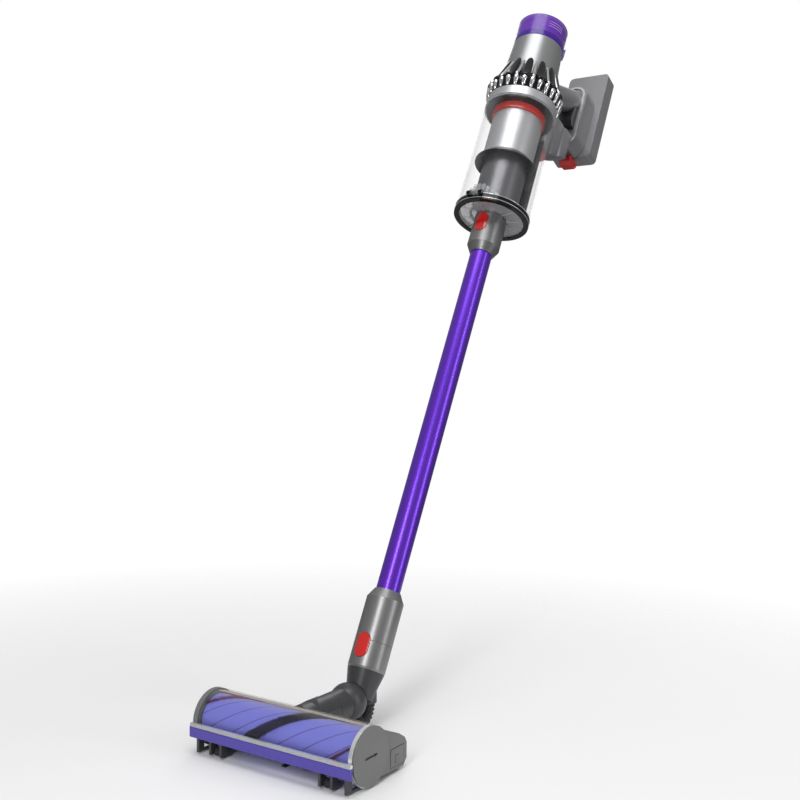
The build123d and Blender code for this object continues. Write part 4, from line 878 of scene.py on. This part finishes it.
def build_hose():
    """Ribbed hose along its route from the cuff's port into the ball."""
    low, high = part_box("neck_hose")
    radius = (high.x - low.x) / 2
    route = hose_route(low, high, radius)
    lengths = [0.0]
    for a, b in zip(route, route[1:]):
        lengths.append(lengths[-1] + (b - a).length)
    total = lengths[-1]
    rows = HOSE_RIBS * RIB_STEPS + 1
    across = Vector((1, 0, 0))
    rings = []
    for i in range(rows):
        d = total * i / (rows - 1)
        k = max(n for n in range(len(route) - 1) if lengths[n] <= d + 1e-9)
        share = (d - lengths[k]) / (lengths[k + 1] - lengths[k])
        middle = route[k].lerp(route[k + 1], share)
        before = route[max(0, k - 1)]
        after = route[min(len(route) - 1, k + 2)]
        ahead = (after - before).normalized()
        out = ahead.cross(across).normalized()
        wave = 0.5 + 0.5 * math.cos(2 * math.pi * i / RIB_STEPS)
        r = radius - 1.7 * MM * (1 - wave ** 0.6)
        rings.append([
            middle + across * r * math.cos(2 * math.pi * j / HOSE_SIDES)
            + out * r * math.sin(2 * math.pi * j / HOSE_SIDES)
            for j in range(HOSE_SIDES)
        ])
    points, faces = capped_loft(rings)
    faces = [tuple(reversed(face)) for face in faces]
    hose = add_piece("hose_ribbed", points, faces, MATERIALS["hose_rubber"], None, "hose_rubber", sharp=0)
    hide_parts("neck_hose")
    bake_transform(hose)


# ---- small details ----
def screw(centre, normal, radius):
    """A round screw head with a cross recess, as (points, faces)."""
    normal = normal.normalized()
    side = normal.orthogonal().normalized()
    other = normal.cross(side)
    rings = []
    for share, lift in ((1.0, 0.0), (1.0, 0.35), (0.85, 0.6), (0.45, 0.6), (0.36, 0.15)):
        ring = []
        for k in range(24):
            turn = 2 * math.pi * k / 24
            pinch = 1.0 if share > 0.5 else 0.72 + 0.28 * math.cos(4 * turn)
            reach = radius * share * pinch
            ring.append(centre + side * reach * math.cos(turn) + other * reach * math.sin(turn)
                        + normal * radius * lift * 0.6)
        rings.append(ring)
    return capped_loft(rings)


def build_sole_details():
    """Screws under the head."""
    low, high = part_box("sole_plate")
    parts = []
    for x in (-96, -36, 36, 96):
        for y in (0.36, 0.62):
            place = Vector((x * MM, y * high.y + 8 * MM, low.z + 0.05 * MM))
            parts.append(screw(place, Vector((0, 0, -1)), 2.8 * MM))
    add_piece("sole_screws", *join_parts(parts), MATERIALS["pin_steel"], "head_unit", "pin_steel")


def build_battery_details():
    """Terminals at the battery's foot."""
    low, high = wand_box("battery_case")
    parts = []
    for x in (-9, -3, 3, 9):
        parts.append(rounded_box(
            ((x - 1.3) * MM, high.y - 16 * MM, low.z - 0.3 * MM),
            ((x + 1.3) * MM, high.y - 9 * MM, low.z + 0.6 * MM),
            0.5 * MM,
        ))
    add_piece("battery_terminals", *join_parts(parts), MATERIALS["copper"], "battery", "copper", place=WAND)


# ---- fairing and housing details ----
FAIRING_LEVEL = 38 * MM
FAIRING_SLOPE = 26.0 / 51.0
FAIRING_SQUARE = 0.6


def squared(value):
    """A sine or cosine drawn out towards its ends, for a column with rounded corners."""
    return math.copysign(abs(value) ** FAIRING_SQUARE, value)


def build_fairing():
    """The strut below the fingers: fluted columns side by side, cut off along one slope underneath."""
    low, high = wand_box("handle_fairing")
    half = (high.x - low.x) / 2 - 0.3 * MM
    slope_start = low.y + FAIRING_LEVEL
    parts = []
    for start, end, across in ((0.03, 0.42, 1.0), (0.34, 0.72, 0.86), (0.62, 1.0, 0.98)):
        near = low.y + (high.y - low.y) * start
        far = low.y + (high.y - low.y) * end
        middle, reach = (near + far) / 2, (far - near) / 2
        rings = []
        for inset, rise in ((1.4, 0.0), (0.4, 0.5), (0.0, 1.6), (0.0, None), (0.4, None)):
            ring = []
            for k in range(36):
                turn = 2 * math.pi * k / 36
                x = (half * across - inset * MM) * squared(math.cos(turn))
                h = middle + (reach - inset * MM) * squared(math.sin(turn))
                top = high.z - (10.0 + 0.5 * inset) * MM
                foot = low.z + max(0.0, h - slope_start) * FAIRING_SLOPE
                ring.append((x, h, top if rise is None else foot + rise * MM))
            rings.append(ring)
        rings[3] = [(x, h, z - 0.8 * MM) for x, h, z in rings[3]]
        parts.append(capped_loft(rings))
    fairing = add_piece("fairing_columns", *join_parts(parts), MATERIALS["handle_grey"], "main_unit",
                        "handle_grey", place=WAND)
    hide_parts("handle_fairing")


FRAME_SIDES = 64


def build_boss_frame():
    """Raised obround frame on the boss's sides."""
    low, high = wand_box("handle_boss")
    rings = []
    half = (high.x - low.x) / 2
    length = (high.z - low.z) / 2
    middle = (high.z + low.z) / 2
    for h, inset in ((low.y + 0.2 * MM, 2.6), (low.y - 1.6 * MM, 3.2), (low.y - 1.6 * MM, 7.4),
                     (low.y + 0.2 * MM, 8.2)):
        ring = []
        for k in range(FRAME_SIDES):
            turn = 2 * math.pi * k / FRAME_SIDES
            rise = math.sin(turn)
            reach = half - inset * MM
            shift = (length - half) * math.copysign(1.0, rise) if abs(rise) > 1e-6 else 0.0
            ring.append((reach * math.cos(turn), h, middle + shift + reach * rise))
        rings.append(ring)
    points = [p for ring in rings for p in ring]
    faces = strip_faces(len(rings), FRAME_SIDES, close_rows=True)
    add_piece("boss_frame", points, faces, MATERIALS["silver_metal"], "main_unit", "handle_grey", place=WAND)


def build_side_panels():
    """Shallow panels at both ends of the rear housing, ringed by dark strips of painted shade along their seams.
    """
    low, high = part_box("head_housing")
    seam_shades, panels = [], []
    for side in (-1, 1):
        face = high.x if side > 0 else low.x
        for (y0, y1, z0, z1), group, proud in (
            ((44, 73, 8, 31), seam_shades, 0.15), ((44.8, 72.2, 8.8, 30.2), panels, 0.35),
            ((54, 61, 12, 22), seam_shades, 0.45), ((54.6, 60.4, 12.6, 21.4), panels, 0.6),
        ):
            x0, x1 = sorted((face - side * 0.4 * MM, face + side * proud * MM))
            group.append(rounded_box((x0, y0 * MM, z0 * MM), (x1, y1 * MM, z1 * MM), 0.18 * MM))
    # painted shade in the seams round the panels
    add_piece("side_seam_shade", *join_parts(seam_shades), PANEL_GAP_SHADE, "head_unit", "head_grey")
    add_piece("side_panels", *join_parts(panels), MATERIALS["head_grey"], "head_unit", "head_grey")


# ---- studio ----
CAMERA_BACK = Vector((0.5666, -0.8238, 0.01745))
CAMERA_TARGET = Vector((0.0, 0.2182, 0.4722))
CAMERA_DISTANCE = 1.4975
CAMERA_ROLL = math.radians(0.38)
CAMERA_LENS = 49.03
CAMERA_SHIFT = (0.010, -0.031)
FLOOR_RADIUS = 1.6
FLOOR_RINGS = 24
FLOOR_SEGMENTS = 64
FLOOR_DROP = 0.2 * MM  # below the wheels, so that nothing shares its plane


def add_camera():
    """The camera, and its level right and back directions."""
    data = bpy.data.cameras.new("camera")
    data.lens = CAMERA_LENS
    data.sensor_width = 36.0
    data.shift_x, data.shift_y = CAMERA_SHIFT
    data.clip_start = 0.05
    data.clip_end = 50.0
    camera = bpy.data.objects.new("camera", data)
    back = CAMERA_BACK.normalized()
    right = Vector((0, 0, 1)).cross(back).normalized()
    up = back.cross(right)
    rolled_right = right * math.cos(CAMERA_ROLL) + up * math.sin(CAMERA_ROLL)
    rolled_up = up * math.cos(CAMERA_ROLL) - right * math.sin(CAMERA_ROLL)
    matrix = Matrix((rolled_right, rolled_up, back)).transposed().to_4x4()
    matrix.translation = CAMERA_TARGET + back * CAMERA_DISTANCE
    camera.matrix_world = matrix
    bpy.context.scene.collection.objects.link(camera)
    bpy.context.scene.camera = camera
    return right, back


def add_light(name, place, target, width, height, power):
    """A soft rectangular light that faces the target."""
    data = bpy.data.lights.new(name, "AREA")
    data.shape = "RECTANGLE"
    data.size = width
    data.size_y = height
    data.energy = power
    light = bpy.data.objects.new(name, data)
    light.location = place
    light.rotation_mode = "QUATERNION"
    light.rotation_quaternion = (target - place).to_track_quat("-Z", "Y")
    bpy.context.scene.collection.objects.link(light)


def add_world():
    """White to the eye, a graded grey studio to reflections."""
    world = bpy.data.worlds.new("studio")
    world.use_nodes = True
    bpy.context.scene.world = world
    tree = world.node_tree
    tree.nodes.clear()
    seen = add_node(tree, "ShaderNodeBackground", Strength=1.0)
    seen.inputs["Color"].default_value = (1.0, 1.0, 1.0, 1.0)
    lit = add_node(tree, "ShaderNodeBackground", Strength=1.0)
    place = add_node(tree, "ShaderNodeTexCoord")
    split = add_node(tree, "ShaderNodeSeparateXYZ")
    tree.links.new(place.outputs["Generated"], split.inputs["Vector"])
    span = add_node(tree, "ShaderNodeMapRange", From_Min=-0.2, From_Max=1.0, To_Min=0.16, To_Max=0.62)
    tree.links.new(split.outputs["Z"], span.inputs["Value"])
    tree.links.new(span.outputs["Result"], lit.inputs["Strength"])
    rays = add_node(tree, "ShaderNodeLightPath")
    mix = add_node(tree, "ShaderNodeMixShader")
    output = add_node(tree, "ShaderNodeOutputWorld")
    tree.links.new(rays.outputs["Is Camera Ray"], mix.inputs[0])
    tree.links.new(lit.outputs["Background"], mix.inputs[1])
    tree.links.new(seen.outputs["Background"], mix.inputs[2])
    tree.links.new(mix.outputs["Shader"], output.inputs["Surface"])


def add_floor():
    """Pale round floor that fades out."""
    points = [(0.0, 0.0, 0.0)]
    for i in range(1, FLOOR_RINGS + 1):
        radius = FLOOR_RADIUS * i / FLOOR_RINGS
        for k in range(FLOOR_SEGMENTS):
            turn = 2 * math.pi * k / FLOOR_SEGMENTS
            points.append((radius * math.cos(turn), radius * math.sin(turn), 0.0))
    faces = [(0, 1 + k, 1 + (k + 1) % FLOOR_SEGMENTS) for k in range(FLOOR_SEGMENTS)]
    faces.extend(strip_faces(FLOOR_RINGS, FLOOR_SEGMENTS, first=1))
    material, tree, shader = new_material("floor_pale")
    shader.inputs["Base Color"].default_value = (0.93, 0.93, 0.935, 1.0)
    shader.inputs["Roughness"].default_value = 0.6
    place = add_node(tree, "ShaderNodeTexCoord")
    length = add_node(tree, "ShaderNodeVectorMath", operation="LENGTH")
    tree.links.new(place.outputs["Object"], length.inputs[0])
    span = add_node(tree, "ShaderNodeMapRange", From_Min=0.35, From_Max=1.3, To_Min=1.0, To_Max=0.0)
    tree.links.new(length.outputs["Value"], span.inputs["Value"])
    tree.links.new(span.outputs["Result"], shader.inputs["Alpha"])
    floor = add_piece("floor", points, faces, material, None)
    floor.location.z = -FLOOR_DROP


def build_studio():
    """Camera, four soft lights, world and floor."""
    right, back = add_camera()
    target = CAMERA_TARGET
    up = Vector((0, 0, 1))
    add_light("key", target - right * 0.75 + back * 2.1 + up * 0.8, target, 0.5, 1.7, 24.0)
    add_light("edge", target + right * 2.0 + back * 0.9 + up * 0.4, target, 0.35, 1.9, 10.0)
    add_light("top", target + back * 0.5 + up * 2.2, target, 1.4, 1.4, 22.0)
    add_light("rear", target + right * 0.4 - back * 2.0 + up * 1.2, target, 1.0, 1.4, 9.0)
    add_world()
    add_floor()
    bpy.context.scene.view_settings.view_transform = "Standard"


dress_cad()
build_cyclone()
build_filter()
build_display()
build_bin_details()
build_roller()
bristle_band("carbon_fibres", "carbon_bristles", (283.0,), 16 * MM, MATERIALS["bristle_black"],
             "bristle_black", 24, 460, 0.2 * MM)
bristle_band("nylon_fibres", "nylon_bristles", (77.0, 131.0), 3 * MM, MATERIALS["bristle_cream"],
             "bristle_cream", 6, 420, 0.24 * MM)
build_comb()
build_hose()
build_sole_details()
build_battery_details()
build_fairing()
build_boss_frame()
build_side_panels()
build_studio()
